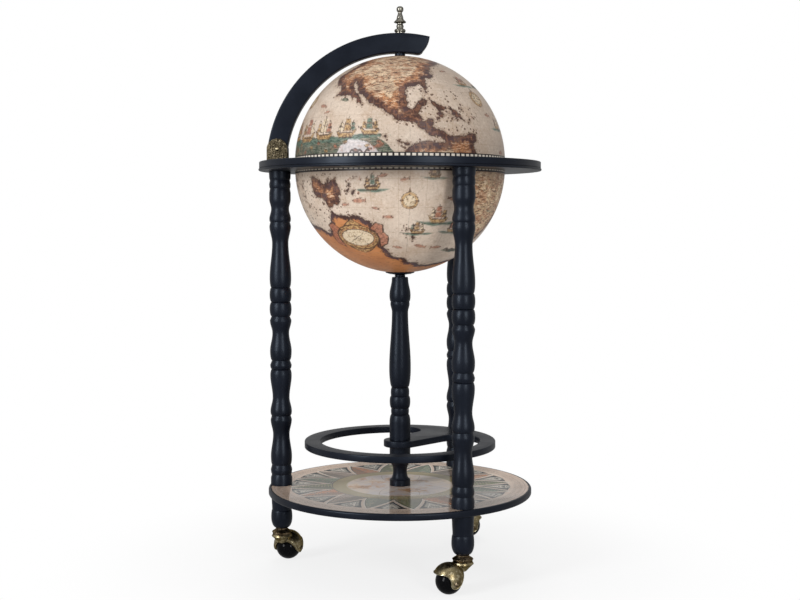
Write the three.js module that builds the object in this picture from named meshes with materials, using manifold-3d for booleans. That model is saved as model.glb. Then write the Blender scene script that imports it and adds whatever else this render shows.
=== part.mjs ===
// A floor globe bar: a hollow globe on a three legged turned stand with hooded ball casters.
// The upper half of the globe is a lid. It hangs from a curved meridian arm that tips over a hinge
// on the horizon ring, and it can be spun about the bolt at its pole. The lower half is a bowl with
// a bottle rack inside. Lengths are millimetres, Z is up, the floor is at height zero and the globe's
// axis is the Z axis. The hinge is on the minus X side, above the first leg.

import * as THREE from 'three';
import { mergeVertices } from 'three/addons/utils/BufferGeometryUtils.js';
import Module from 'manifold-3d';

// The air left between two separate pieces that rest on, or run in, one another.
const fit = 0.3;

// How far a cutting tool runs past the face that it leaves through.
const overrun = 2;

// The globe: two half shells with a hole for a bolt at each pole.
const globeRadius = 165;
const shellWall = 4;
const bowlRadius = globeRadius - shellWall;
const boltRadius = 3;

// The three turned legs, each of an upper leg, a lower leg and a foot. They stand close round the globe.
const legCount = 3;
const legRadius = 17.3;
const legGap = 7.5;
const legCircleRadius = globeRadius + legGap + legRadius;
const upperLegLength = 205.7;
const lowerLegLength = 292.8;

// Hidden studs that pin the legs together: how thick, and how deep each goes into each piece.
const studRadius = 3;
const studDepth = 22;
const ringStudDepth = 9;

// The stem of each caster goes up into a foot, with solid wood left between it and the stud above.
const stemRadius = 4;
const stemGrip = 30;
const footMiddle = 7;
const footLength = stemGrip + footMiddle + studDepth;

// The horizon ring: a wide flat board with a moulded edge, rabbeted below for the bowl.
const ringMargin = 14.9;
const ringRadius = legCircleRadius + legRadius + ringMargin;
const ringThickness = 14.2;
const ringOpeningLap = 10;
const ringOpeningRadius = globeRadius - ringOpeningLap;
const ringEdgeRound = 1.5;
const ringLipHeight = 3.6;
const ringLipReach = 1.1;
const ringGrooveDepth = 0.9;
const ringGrooveHeight = 0.7;
const rabbetDepth = 5.6;

// The shelf that the legs pin in place.
const shelfMargin = 2.1;
const shelfRadius = legCircleRadius + legRadius + shelfMargin;
const shelfThickness = 10.3;
const shelfEdgeRound = 2;

// The central column and the bottle ring clamped between its two lengths. A screw comes up into the
// lower length from the shelf, with solid wood left between it and the stud above.
const columnRadius = 17.2;
const columnScrewGrip = 30;
const lowerColumnMiddle = 10.2;
const lowerColumnLength = columnScrewGrip + lowerColumnMiddle + studDepth;
const bottleRingGap = 20.5;
const bottleRingRadius = legCircleRadius - legRadius - bottleRingGap;
const bottleRingRim = 25;
const bottleRingThickness = 10.4;
const bottleRingBevel = 1;
const tongueRadius = 26;
const slotEndRadius = 33.5;
const slotEndAngles = [Math.PI / 24, Math.PI / 2];

// The short neck and the dished saucer that carry the bowl.
const neckRadius = 8.3;
const neckLength = 3.6;
const saucerRadius = 23;
const saucerFootRadius = 11.5;
const saucerRimThickness = 1.3;
const saucerThickness = 2.4;

// The bolt that holds the bowl down and the screw that holds the column to the shelf.
const headRadius = 6;
const headHeight = 4;
const washerRadius = 11;
const washerThickness = 1.5;
const bowlBoltGrip = 28;

// The rack inside the bowl: a pierced plate near the rim and a floor that the bottles stand on. Depths
// below the rim, hole radii and the circles that the holes lie on are shares of the bowl's inner radius.
const rackPlateThickness = 6;
const rackFloorThickness = 5;
const rackHoleCount = 3;
const rackPlateDepthShare = 0.2112;
const rackFloorDepthShare = 0.7143;
const bottleHoleShare = 0.2857;
const bottleHoleCircleShare = 0.3851;
const glassHoleShare = 0.1739;
const glassHoleCircleShare = 0.6957;

// The meridian arm: a flat curved board that carries the lid by its pole.
const armGap = 12.5;
const armDepth = 30.7;
const armInnerRadius = globeRadius + armGap;
const armOuterRadius = armInnerRadius + armDepth;
const armShift = 2;
const armThickness = 21;
const armBevel = 1.5;
const armTailAngle = 0.235;
const armTailTaper = 0.036;
const armTailRound = 8;
const armTailBow = 3.6;

// The hinge: one folded brass bracket with two round topped cheeks, a bolt and its nut.
const armFootAir = 5.15;
const pivotHeight = armDepth / 2 + armFootAir;
const cheekThickness = 1.5;
const cheekGap = 0.4;
const cheekMargin = 0.8;
const bracketFloor = 1.8;
const stopLipThickness = 1.6;
const hingeBoltRadius = 2;
const hingeHeadRadius = 3.2;
const hingeHeadHeight = 1.8;
const hingeNutRadius = 4.2;
const hingeNutHeight = 2.6;
const lidOpenAngle = THREE.MathUtils.degToRad(85);
const stopSlack = THREE.MathUtils.degToRad(1.5);
const bracketScrewRadius = 1.5;
const bracketScrewHeadRadius = 2.9;
const bracketScrewHeadHeight = 1.2;
const bracketScrewDepth = 7;
const bracketScrewSpread = 9;

// Heads of screws and bolts: how much of the height is upright, and how wide the top is.
const headWallShare = 0.5;
const headCrownShare = 0.7;

// The finial on the arm, the spacer under it, and the washer and nut inside the lid.
const finialRadius = 9.6;
const finialLength = 42;
const finialGrip = 12;
const spacerRadius = 8.2;
const nutRadius = 5.6;
const nutHeight = 4;

// The hooded ball casters.
const ballRadius = 19.75;
const trailGap = 4.05;
const casterTrail = ballRadius + trailGap;
const casterAngles = [1.216, 3.633, 0.358];
const ballHubRadius = 9;
const axleRadius = 2;
const axleHeadRadius = 3.4;
const axleHeadHeight = 1.1;
const hoodAir = 1.3;
const hoodWall = 2.6;
const hoodRadius = ballRadius + hoodAir + hoodWall;
const hoodLift = 4;
const hoodLobeRadius = 7.5;

// The hood seen from its side, as shares of the ball's radius: how far in front of the axle and how
// far above it. The front rim sweeps up from the lobe and out to the lip, and the next three points
// lie clear of the hood. The rear edge then comes down to the lobe again.
const hoodSideShares = [
  [0.365, 0.1], [0.42, 0.34], [0.52, 0.54], [0.67, 0.66], [0.86, 0.69], [1.5, 0.68],
  [1.5, 1.6], [-1.5, 1.6], [-1.5, 0.95],
  [-0.85, 0.395], [-0.496, -0.11], [-0.23, -0.3],
];

// The swivel head in the hood: a disc, widest at its lower edge, over a cone. The stem is set into it.
const headRise = 6.5;
const headTopRadius = 14.9;
const headDiscRadius = 16.2;
const headDiscThickness = 3.2;
const headConeHeight = 11.3;
const headConeRadius = 5.5;
const headBoreDepth = 10;

// The collar over it: a disc with a sloping shoulder under a short neck.
const collarFootRadius = 14.5;
const collarDiscRadius = 15.7;
const collarEdgeHeight = 3.9;
const collarShoulderHeight = 4.5;
const collarNeckRadius = 9.4;
const collarNeckLength = 1.3;

// How finely round shapes are faceted.
const globeSegments = 32;
const globeRows = 6;
const ringSegments = globeSegments;
const legSegments = 8;
const footSegments = 9;
const columnSegments = 9;
const smallSegments = 8;
const studSegments = 8;
const nutSides = 6;
const ballSegments = 12;
const ballRows = 6;
const hoodSegments = 12;
const hoodRows = 8;
const arcSteps = 8;
const shortArcSteps = 5;

// Heights of the stack, from the casters up to the lid.
const headTop = 2 * ballRadius + headRise;
const headBoreBase = headTop - headBoreDepth;
const collarBase = headTop + fit;
const collarHeight = collarEdgeHeight + collarShoulderHeight + collarNeckLength;
const collarTop = collarBase + collarHeight;
const footBase = collarTop + fit;
const shelfBase = footBase + footLength + fit;
const shelfTop = shelfBase + shelfThickness;
const lowerLegBase = shelfTop + fit;
const upperLegBase = lowerLegBase + lowerLegLength + fit;
const ringBase = upperLegBase + upperLegLength + fit;
const ringTop = ringBase + ringThickness;
const lidRim = ringTop + fit;
const lidTop = lidRim + globeRadius;
const bowlRim = ringBase + rabbetDepth - fit;
const bowlBottom = bowlRim - globeRadius;

// Heights of the column, worked down from the bowl and up from the shelf.
const saucerBase = bowlBottom - fit - saucerThickness;
const neckBase = saucerBase - fit - neckLength;
const lowerColumnBase = shelfTop + fit;
const bottleRingBase = lowerColumnBase + lowerColumnLength + fit;
const upperColumnBase = bottleRingBase + bottleRingThickness + fit;
const upperColumnLength = neckBase - fit - upperColumnBase;

// The arm is concentric with the middle of the ring, apart from its small shift to the hinge side.
const armCentreX = -armShift;
const armCentreZ = ringBase + ringThickness / 2;
const pivotZ = ringTop + pivotHeight;
const pivotRise = pivotZ - armCentreZ;
const footOuterX = armCentreX - Math.sqrt(armOuterRadius ** 2 - pivotRise ** 2);
const footInnerX = armCentreX - Math.sqrt(armInnerRadius ** 2 - pivotRise ** 2);
const pivotX = (footOuterX + footInnerX) / 2;
const armFootRadius = (footInnerX - footOuterX) / 2;
const armTop = armCentreZ + Math.sqrt(armOuterRadius ** 2 - armShift ** 2);
const spacerTop = armCentreZ + Math.sqrt(armInnerRadius ** 2 - (spacerRadius + armShift) ** 2) - fit;

// Turned outlines. Each stop gives its height as a share of the length, its radius as a share of the
// largest radius, and how the surface runs up to it from the stop below: in a line, in a sway that is
// level at both ends, round like the lower half of a bead, or tucked in like the upper half of one.
const upperLegShares = [
  [0, 0.845, 'line'], [0.056, 0.997, 'round'], [0.11, 0.84, 'tuck'], [0.183, 0.985, 'round'],
  [0.453, 0.742, 'sway'], [0.584, 0.98, 'sway'], [0.614, 0.9, 'line'], [0.638, 0.98, 'round'],
  [0.715, 0.814, 'sway'], [0.791, 0.978, 'sway'], [0.84, 0.978, 'line'], [0.872, 0.905, 'line'],
  [0.906, 0.977, 'round'], [0.937, 0.905, 'line'], [0.967, 0.98, 'round'], [1, 1, 'line'],
];
const lowerLegShares = [
  [0, 0.985, 'line'], [0.039, 0.985, 'line'], [0.059, 0.88, 'line'], [0.086, 0.982, 'round'],
  [0.111, 0.866, 'line'], [0.155, 0.972, 'round'], [0.277, 0.758, 'sway'], [0.359, 0.975, 'sway'],
  [0.381, 0.864, 'line'], [0.403, 0.982, 'round'], [0.48, 0.775, 'sway'], [0.601, 0.982, 'sway'],
  [0.634, 0.832, 'tuck'], [0.658, 0.982, 'round'], [0.683, 0.825, 'line'], [0.732, 0.99, 'round'],
  [0.831, 0.768, 'sway'], [0.901, 0.984, 'sway'], [0.923, 0.836, 'line'], [0.961, 1, 'round'],
  [1, 0.843, 'tuck'],
];
const footShares = [
  [0, 0.49, 'line'], [0.28, 0.98, 'round'], [0.5, 0.884, 'tuck'], [0.8, 0.928, 'sway'], [1, 0.97, 'line'],
];
const lowerColumnShares = [
  [0, 0.965, 'line'], [0.15, 0.965, 'line'], [0.35, 0.64, 'round'], [0.51, 0.78, 'tuck'],
  [0.59, 0.9, 'line'], [0.7, 0.965, 'round'], [1, 0.965, 'line'],
];
const upperColumnShares = [
  [0, 0.97, 'line'], [0.103, 0.97, 'line'], [0.156, 0.785, 'tuck'], [0.181, 0.835, 'round'],
  [0.195, 0.81, 'line'], [0.237, 0.955, 'round'], [0.27, 0.825, 'tuck'], [0.292, 0.858, 'round'],
  [0.323, 0.745, 'tuck'], [0.441, 1, 'round'], [0.786, 0.745, 'sway'], [0.838, 0.888, 'sway'],
  [0.851, 0.862, 'line'], [0.89, 0.973, 'round'], [0.99, 0.756, 'sway'], [1, 0.725, 'line'],
];
const finialShares = [
  [0, 0.77, 'line'], [0.042, 0.77, 'line'], [0.095, 0.92, 'round'], [0.165, 0.52, 'tuck'],
  [0.259, 0.6, 'sway'], [0.335, 0.49, 'sway'], [0.37, 0.49, 'line'], [0.415, 1, 'round'],
  [0.44, 0.9, 'line'], [0.5, 0.62, 'line'], [0.56, 0.53, 'line'], [0.775, 0.31, 'sway'],
  [0.9, 0.57, 'round'], [1, 0, 'tuck'],
];

function quarterSine(t) {
  return Math.sin(Math.PI * t / 2);
}

function quarterFall(t) {
  return 1 - Math.cos(Math.PI * t / 2);
}

// How far along in radius and in height each kind of curve is, and the number of facets it gets.
const curves = {
  line: { steps: 1, radius: (t) => t, height: (t) => t },
  sway: { steps: 3, radius: (t) => (1 - Math.cos(Math.PI * t)) / 2, height: (t) => t },
  round: { steps: 2, radius: quarterSine, height: quarterFall },
  tuck: { steps: 2, radius: quarterFall, height: quarterSine },
};

// Surface colours and finishes.
const blackLacquer = { color: 0x14161b, roughness: 0.42, metalness: 0 };
const printedPaper = { color: 0xb98f63, roughness: 0.45, metalness: 0 };
const shelfPrint = { color: 0xc9b79c, roughness: 0.22, metalness: 0 };
const darkWood = { color: 0x4a2f1c, roughness: 0.55, metalness: 0 };
const antiqueBrass = { color: 0x8a7442, roughness: 0.35, metalness: 1 };
const glossBlack = { color: 0x0b0b0d, roughness: 0.12, metalness: 0 };
const plainSteel = { color: 0x8d9094, roughness: 0.4, metalness: 1 };

const wasm = await Module();
wasm.setup();

// Turns a geometry made about the Y axis, or drawn in the XY plane, so that its Y becomes Z.
function standUp(geometry) {
  return geometry.rotateX(Math.PI / 2);
}

function point(radius, height) {
  return new THREE.Vector2(radius, height);
}

// A solid of revolution about Z from an outline of radius and height.
function revolve(outline, segments) {
  return standUp(new THREE.LatheGeometry(outline, segments));
}

// The outline of a turned piece, from its lowest stop to its highest.
function turnedOutline(shares, length, radius) {
  const outline = [point(shares[0][1] * radius, shares[0][0] * length)];
  for (let i = 1; i < shares.length; i += 1) {
    const [startHeight, startRadius] = shares[i - 1];
    const [endHeight, endRadius, kind] = shares[i];
    const curve = curves[kind];
    for (let step = 1; step <= curve.steps; step += 1) {
      const t = step / curve.steps;
      const r = startRadius + (endRadius - startRadius) * curve.radius(t);
      const z = startHeight + (endHeight - startHeight) * curve.height(t);
      outline.push(point(r * radius, z * length));
    }
  }
  return outline;
}

// A turned piece with a blind hole up its foot and another down its head. A depth of zero leaves
// that end whole.
function turned(shares, length, radius, segments, footHole, headHole) {
  const outline = turnedOutline(shares, length, radius);
  const foot = footHole.depth > 0
    ? [point(0, footHole.depth), point(footHole.radius, footHole.depth), point(footHole.radius, 0)]
    : [point(0, 0)];
  const headHoleEnd = length - headHole.depth;
  const head = headHole.depth > 0
    ? [point(headHole.radius, length), point(headHole.radius, headHoleEnd), point(0, headHoleEnd)]
    : [];
  return revolve([...foot, ...outline, ...head], segments);
}

function blindHole(radius, depth) {
  return { radius: radius + fit, depth: depth + fit };
}

const noHole = { radius: 0, depth: 0 };

// A plain rod standing on its lower end.
function rod(radius, length, segments) {
  return standUp(new THREE.CylinderGeometry(radius, radius, length, segments)).translate(0, 0, length / 2);
}

// A flat ring with a hole, standing on its lower face.
function disc(outerRadius, innerRadius, thickness, segments) {
  return revolve([
    point(innerRadius, 0), point(outerRadius, 0), point(outerRadius, thickness),
    point(innerRadius, thickness), point(innerRadius, 0),
  ], segments);
}

// A tool for a running hole along Y, centred on the origin.
function crossHole(radius, width) {
  return new THREE.CylinderGeometry(radius + fit, radius + fit, width + 2 * overrun, smallSegments);
}

function toSolid(geometry) {
  const bare = geometry.clone();
  bare.deleteAttribute('normal');
  bare.deleteAttribute('uv');
  const merged = mergeVertices(bare);
  const corners = Array.from(merged.index.array);
  const kept = [];
  for (let i = 0; i < corners.length; i += 3) {
    const [a, b, c] = corners.slice(i, i + 3);
    if (a !== b && b !== c && c !== a) kept.push(a, b, c);
  }
  return new wasm.Manifold(new wasm.Mesh({
    numProp: 3,
    vertProperties: new Float32Array(merged.getAttribute('position').array),
    triVerts: new Uint32Array(kept),
  }));
}

function toGeometry(solid) {
  const mesh = solid.getMesh();
  const geometry = new THREE.BufferGeometry();
  geometry.setAttribute('position', new THREE.BufferAttribute(mesh.vertProperties, 3));
  geometry.setIndex(new THREE.BufferAttribute(mesh.triVerts, 1));
  geometry.computeVertexNormals();
  return geometry;
}

// Cuts each tool out of a piece.
function carve(geometry, tools) {
  let solid = toSolid(geometry);
  for (const tool of tools) solid = solid.subtract(toSolid(tool));
  return toGeometry(solid);
}

const root = new THREE.Group();

// Puts one named piece into a group.
function add(group, name, geometry, finish, x = 0, y = 0, z = 0) {
  const mesh = new THREE.Mesh(geometry, new THREE.MeshStandardMaterial(finish));
  mesh.name = name;
  mesh.position.set(x, y, z);
  group.add(mesh);
  return mesh;
}

// The angle of each leg round the globe's axis. The first leg is under the hinge.
function legAngle(index) {
  return Math.PI + index * 2 * Math.PI / legCount;
}

function legPlace(index) {
  const angle = legAngle(index);
  return [legCircleRadius * Math.cos(angle), legCircleRadius * Math.sin(angle)];
}

// Vertical holes through a board at every leg.
function legHoles(radius, from, to) {
  const holes = [];
  for (let i = 0; i < legCount; i += 1) {
    const [x, y] = legPlace(i);
    holes.push(rod(radius, to - from, smallSegments).translate(x, y, from));
  }
  return holes;
}

// The angles from a pole's bolt hole to the rim of a half shell of the given radius.
function shellArc(radius) {
  const start = Math.asin((boltRadius + fit) / radius);
  const angles = [];
  for (let i = 0; i <= globeRows; i += 1) angles.push(start + (Math.PI / 2 - start) * i / globeRows);
  return angles.map((angle) => point(radius * Math.sin(angle), radius * Math.cos(angle)));
}

// The bowl's inner wall as an outline of radius and height above its rim plane.
const bowlInnerWall = shellArc(bowlRadius).map((p) => point(p.x, -p.y));

// The half shell that opens upwards.
function bowlShell() {
  const outer = shellArc(globeRadius).map((p) => point(p.x, -p.y));
  return revolve([...outer, ...bowlInnerWall.slice().reverse(), outer[0]], globeSegments);
}

// The half shell that opens downwards.
function lidShell() {
  const outer = shellArc(globeRadius);
  const inner = shellArc(bowlRadius);
  return revolve([...outer.slice().reverse(), ...inner, outer[outer.length - 1]], globeSegments);
}

// The radius of the bowl's faceted inner wall at a height above its rim plane.
function bowlRadiusAt(height) {
  const above = bowlInnerWall.findIndex((p) => p.y >= height);
  const [low, high] = [bowlInnerWall[above - 1], bowlInnerWall[above]];
  return low.x + (high.x - low.x) * (height - low.y) / (high.y - low.y);
}

// How far a washer's edge stands from the rim plane when it rests on the faceted inner wall.
function washerDrop() {
  const above = bowlInnerWall.findIndex((p) => p.x >= washerRadius);
  const [low, high] = [bowlInnerWall[above - 1], bowlInnerWall[above]];
  return -low.y + (low.y - high.y) * (washerRadius - low.x) / (high.x - low.x);
}

// A board that wedges into the bowl, with its bevelled edge against the wall.
function bowlBoard(depth, thickness) {
  const lower = bowlRadiusAt(-depth - thickness) - fit;
  const upper = bowlRadiusAt(-depth) - fit;
  const outline = [point(0, 0), point(lower, 0), point(upper, thickness), point(0, thickness)];
  return revolve(outline, globeSegments);
}

function rackHole(radius, circle, angle) {
  const [x, y] = [circle * Math.cos(angle), circle * Math.sin(angle)];
  const length = rackPlateThickness + 2 * overrun;
  return rod(radius, length, ballSegments).translate(x, y, -overrun);
}

// The pierced plate: bottle holes round the middle, glass holes between them nearer the rim.
function rackPlate(depth) {
  const holes = [];
  for (let i = 0; i < rackHoleCount; i += 1) {
    const turn = 2 * Math.PI * i / rackHoleCount;
    const between = turn + Math.PI / rackHoleCount;
    holes.push(rackHole(bottleHoleShare * bowlRadius, bottleHoleCircleShare * bowlRadius, turn));
    holes.push(rackHole(glassHoleShare * bowlRadius, glassHoleCircleShare * bowlRadius, between));
  }
  return carve(bowlBoard(depth, rackPlateThickness), holes);
}

// The horizon ring's section: an upright wall over a groove and a rounded lip, and inside it the
// rabbet that takes the bowl's rim.
function horizonRing() {
  const wall = ringRadius - ringLipReach;
  const grooveTop = ringLipHeight + ringGrooveHeight;
  const rabbetRadius = globeRadius + fit;
  const board = revolve([
    point(rabbetRadius, 0), point(ringRadius - ringEdgeRound, 0), point(ringRadius, ringEdgeRound),
    point(ringRadius, ringLipHeight - ringGrooveHeight), point(wall - ringGrooveDepth, ringLipHeight),
    point(wall, grooveTop), point(wall, ringThickness - ringEdgeRound),
    point(wall - ringEdgeRound, ringThickness), point(ringOpeningRadius, ringThickness),
    point(ringOpeningRadius, rabbetDepth), point(rabbetRadius, rabbetDepth), point(rabbetRadius, 0),
  ], ringSegments);
  const studHoles = legHoles(studRadius + fit, -overrun, ringStudDepth + fit);
  const screwHoles = bracketScrewPlaces().map((x) => (
    rod(bracketScrewRadius + fit, bracketScrewDepth + fit + overrun, studSegments)
      .translate(x, 0, ringThickness - bracketScrewDepth - fit)
  ));
  return carve(board, [...studHoles, ...screwHoles]);
}

// The round shelf with its softened edge, bored for the leg studs and for the column's screw.
function shelfBoard() {
  const flat = shelfRadius - shelfEdgeRound;
  const board = revolve([
    point(0, 0), point(flat, 0), point(shelfRadius, shelfEdgeRound),
    point(shelfRadius, shelfThickness - shelfEdgeRound), point(flat, shelfThickness),
    point(0, shelfThickness),
  ], ringSegments);
  const length = shelfThickness + 2 * overrun;
  const middle = rod(boltRadius + fit, length, smallSegments).translate(0, 0, -overrun);
  return carve(board, [...legHoles(studRadius + fit, -overrun, shelfThickness + overrun), middle]);
}

// The bottle ring seen from above: one C-shaped slot leaves a rim, and a web that narrows to a round
// tongue under the column. The slot's two ends are circles that touch the rim, and the web's edges
// are the lines that pass between them and the tongue.
function bottleRing() {
  const slotRadius = bottleRingRadius - bottleRingRim;
  const reach = slotRadius - slotEndRadius;
  const lean = Math.acos((tongueRadius + slotEndRadius) / reach);
  const [right, back] = slotEndAngles;
  const whole = 2 * Math.PI;
  const slot = new THREE.Shape();
  slot.absarc(0, 0, slotRadius, back, right + whole, false);
  slot.absarc(
    reach * Math.cos(right), reach * Math.sin(right), slotEndRadius,
    right, right + Math.PI - lean, false,
  );
  slot.absarc(0, 0, tongueRadius, right - lean, back + lean - whole, true);
  slot.absarc(
    reach * Math.cos(back), reach * Math.sin(back), slotEndRadius,
    back + Math.PI + lean, back + whole, false,
  );
  const depth = bottleRingThickness + 2 * overrun;
  const slotTool = new THREE.ExtrudeGeometry(slot, { depth, bevelEnabled: false, curveSegments: arcSteps });
  const board = revolve([
    point(0, 0), point(bottleRingRadius - bottleRingBevel, 0), point(bottleRingRadius, bottleRingBevel),
    point(bottleRingRadius, bottleRingThickness - bottleRingBevel),
    point(bottleRingRadius - bottleRingBevel, bottleRingThickness), point(0, bottleRingThickness),
  ], ringSegments);
  const hole = rod(studRadius + fit, depth, smallSegments).translate(0, 0, -overrun);
  return carve(board, [slotTool.translate(0, 0, -overrun), hole]);
}

// The dished saucer under the bowl. Its upper face follows the bowl.
function bowlSaucer() {
  const bore = boltRadius + fit;
  const centre = globeRadius + saucerThickness + fit;
  const seat = globeRadius + fit;
  const dish = [];
  for (let i = 0; i <= curves.sway.steps; i += 1) {
    const r = saucerRadius + (bore - saucerRadius) * i / curves.sway.steps;
    dish.push(point(r, centre - Math.sqrt(seat ** 2 - r ** 2)));
  }
  const rimHeight = dish[0].y;
  return revolve([
    point(bore, 0), point(saucerFootRadius, 0), point(saucerRadius, rimHeight - saucerRimThickness), ...dish,
    point(bore, 0),
  ], columnSegments);
}

// The curved board of the arm. It runs from a round foot about the hinge bolt, over the globe and a
// little past the pole, where its slanted tail bows out and has a rounded inner corner.
function meridianArm() {
  const outerFoot = Math.atan2(pivotRise, footOuterX - armCentreX);
  const innerFoot = Math.atan2(pivotRise, footInnerX - armCentreX);
  const outerTail = Math.PI / 2 - armTailAngle;
  const innerTail = outerTail + armTailTaper;
  const roundTurn = armTailRound / armInnerRadius;
  const place = (radius, angle) => point(radius * Math.cos(angle), radius * Math.sin(angle));
  const tip = place(armOuterRadius, outerTail);
  const corner = place(armInnerRadius, innerTail);
  const slant = tip.clone().sub(corner).normalize();
  const edge = slant.clone().multiplyScalar(armTailRound).add(corner);
  const bow = tip.clone().add(edge).divideScalar(2);
  bow.add(point(slant.y, -slant.x).multiplyScalar(armTailBow));
  const run = place(armInnerRadius, innerTail + roundTurn);
  const outline = new THREE.Shape();
  outline.absarc(0, 0, armOuterRadius, outerFoot, outerTail, true);
  outline.quadraticCurveTo(bow.x, bow.y, edge.x, edge.y);
  outline.quadraticCurveTo(corner.x, corner.y, run.x, run.y);
  outline.absarc(0, 0, armInnerRadius, innerTail + roundTurn, innerFoot, false);
  outline.absarc(pivotX - armCentreX, pivotRise, armFootRadius, 0, -Math.PI, true);
  const board = standUp(new THREE.ExtrudeGeometry(outline, {
    depth: armThickness - 2 * armBevel,
    bevelEnabled: true,
    bevelThickness: armBevel,
    bevelSize: armBevel,
    bevelOffset: -armBevel,
    bevelSegments: 1,
    curveSegments: arcSteps,
  })).translate(armCentreX, armThickness / 2 - armBevel, armCentreZ);
  const boreLength = armOuterRadius - armInnerRadius + 2 * armBevel + 2 * overrun;
  const boreBase = armTop - boreLength + overrun;
  const bore = rod(boltRadius + fit, boreLength, smallSegments).translate(0, 0, boreBase);
  const pivotHole = crossHole(hingeBoltRadius, armThickness).translate(pivotX, 0, pivotZ);
  return carve(board, [bore, pivotHole]);
}

// The places of the bracket's two screws along X.
function bracketScrewPlaces() {
  return [pivotX - bracketScrewSpread, pivotX + bracketScrewSpread];
}

// How high above the ring the stop lip stands: just short of the arm's back when the lid is open.
function stopLipHeight() {
  const turn = lidOpenAngle + stopSlack;
  const [x, z] = [armCentreX - pivotX, -pivotRise];
  const centreX = x * Math.cos(turn) - z * Math.sin(turn);
  const centreZ = x * Math.sin(turn) + z * Math.cos(turn);
  const lipX = -armFootRadius + stopLipThickness;
  return pivotHeight + centreZ - Math.sqrt(armOuterRadius ** 2 - (lipX - centreX) ** 2);
}

// The folded bracket: a floor, a stop lip at its outer end, and two cheeks with round tops.
function hingeBracket() {
  const half = armFootRadius + cheekMargin;
  const inside = armThickness + 2 * cheekGap;
  const width = inside + 2 * cheekThickness;
  const outline = new THREE.Shape();
  outline.moveTo(-half, 0);
  outline.lineTo(half, 0);
  outline.absarc(0, pivotHeight - fit, half, 0, Math.PI, false);
  const block = standUp(new THREE.ExtrudeGeometry(outline, {
    depth: width, bevelEnabled: false, curveSegments: shortArcSteps,
  })).translate(0, width / 2, 0);
  const tall = pivotHeight + half + overrun;
  const channel = new THREE.BoxGeometry(2 * half + 2 * overrun, inside, tall);
  const lip = stopLipHeight();
  const cuts = [
    channel.clone().translate(0, 0, lip + tall / 2),
    channel.clone().translate(stopLipThickness + overrun, 0, bracketFloor + tall / 2),
    crossHole(hingeBoltRadius, width).translate(0, 0, pivotHeight - fit),
  ];
  const length = bracketFloor + 2 * overrun;
  for (const x of bracketScrewPlaces()) {
    cuts.push(rod(bracketScrewRadius + fit, length, studSegments).translate(x - pivotX, 0, -overrun));
  }
  return carve(block, cuts);
}

// A flat headed screw, head up, with its origin under the head.
function headedScrew(radius, length, screwHeadRadius, screwHeadHeight, segments) {
  return revolve([
    point(0, -length), point(radius, -length), point(radius, 0), point(screwHeadRadius, 0),
    point(screwHeadRadius, screwHeadHeight * headWallShare),
    point(screwHeadRadius * headCrownShare, screwHeadHeight),
    point(0, screwHeadHeight),
  ], segments);
}

// A six sided nut standing on its lower face.
function hexNut(radius, threadRadius, height) {
  const hole = rod(threadRadius + fit, height + 2 * overrun, smallSegments).translate(0, 0, -overrun);
  return carve(rod(radius, height, nutSides), [hole]);
}

// The hinge bolt, made along Z with its domed head up and turned to lie along Y, head to the front.
function hingeBolt() {
  const grip = armThickness + 2 * cheekGap + 2 * cheekThickness;
  const length = grip + hingeNutHeight + 2 * fit;
  const bolt = headedScrew(hingeBoltRadius, length, hingeHeadRadius, hingeHeadHeight, smallSegments);
  return bolt.rotateX(Math.PI / 2).translate(0, -grip / 2 - fit, 0);
}

function hingeNut() {
  const grip = armThickness + 2 * cheekGap + 2 * cheekThickness;
  const nut = hexNut(hingeNutRadius, hingeBoltRadius, hingeNutHeight);
  return nut.rotateX(-Math.PI / 2).translate(0, grip / 2 + fit, 0);
}

// The ball, revolved about its axle, which lies along Y. Its hub ends are flat.
function casterBall() {
  const bore = axleRadius + fit;
  const hub = Math.asin(ballHubRadius / ballRadius);
  const outline = [];
  for (let i = 0; i <= ballRows; i += 1) {
    const angle = hub + (Math.PI - 2 * hub) * i / ballRows;
    outline.push(point(ballRadius * Math.sin(angle), -ballRadius * Math.cos(angle)));
  }
  const [low, high] = [outline[0].y, outline[ballRows].y];
  const whole = [point(bore, low), ...outline, point(bore, high), point(bore, low)];
  return new THREE.LatheGeometry(whole, ballSegments);
}

function casterAxle() {
  const half = hoodRadius + fit;
  const outer = half + axleHeadHeight;
  return new THREE.LatheGeometry([
    point(0, -outer), point(axleHeadRadius, -half - axleHeadHeight / 2), point(axleHeadRadius, -half),
    point(axleRadius, -half), point(axleRadius, half), point(axleHeadRadius, half),
    point(axleHeadRadius, half + axleHeadHeight / 2), point(0, outer),
  ], studSegments);
}

// The swivel head, with a blind hole for the stem in its top.
function swivelHead() {
  const bore = stemRadius + fit;
  const discBase = headTop - headDiscThickness;
  const coneBase = discBase - headConeHeight;
  return revolve([
    point(0, coneBase), point(headConeRadius, coneBase), point(headDiscRadius, discBase),
    point(headTopRadius, headTop), point(bore, headTop), point(bore, headBoreBase), point(0, headBoreBase),
  ], hoodSegments);
}

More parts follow.
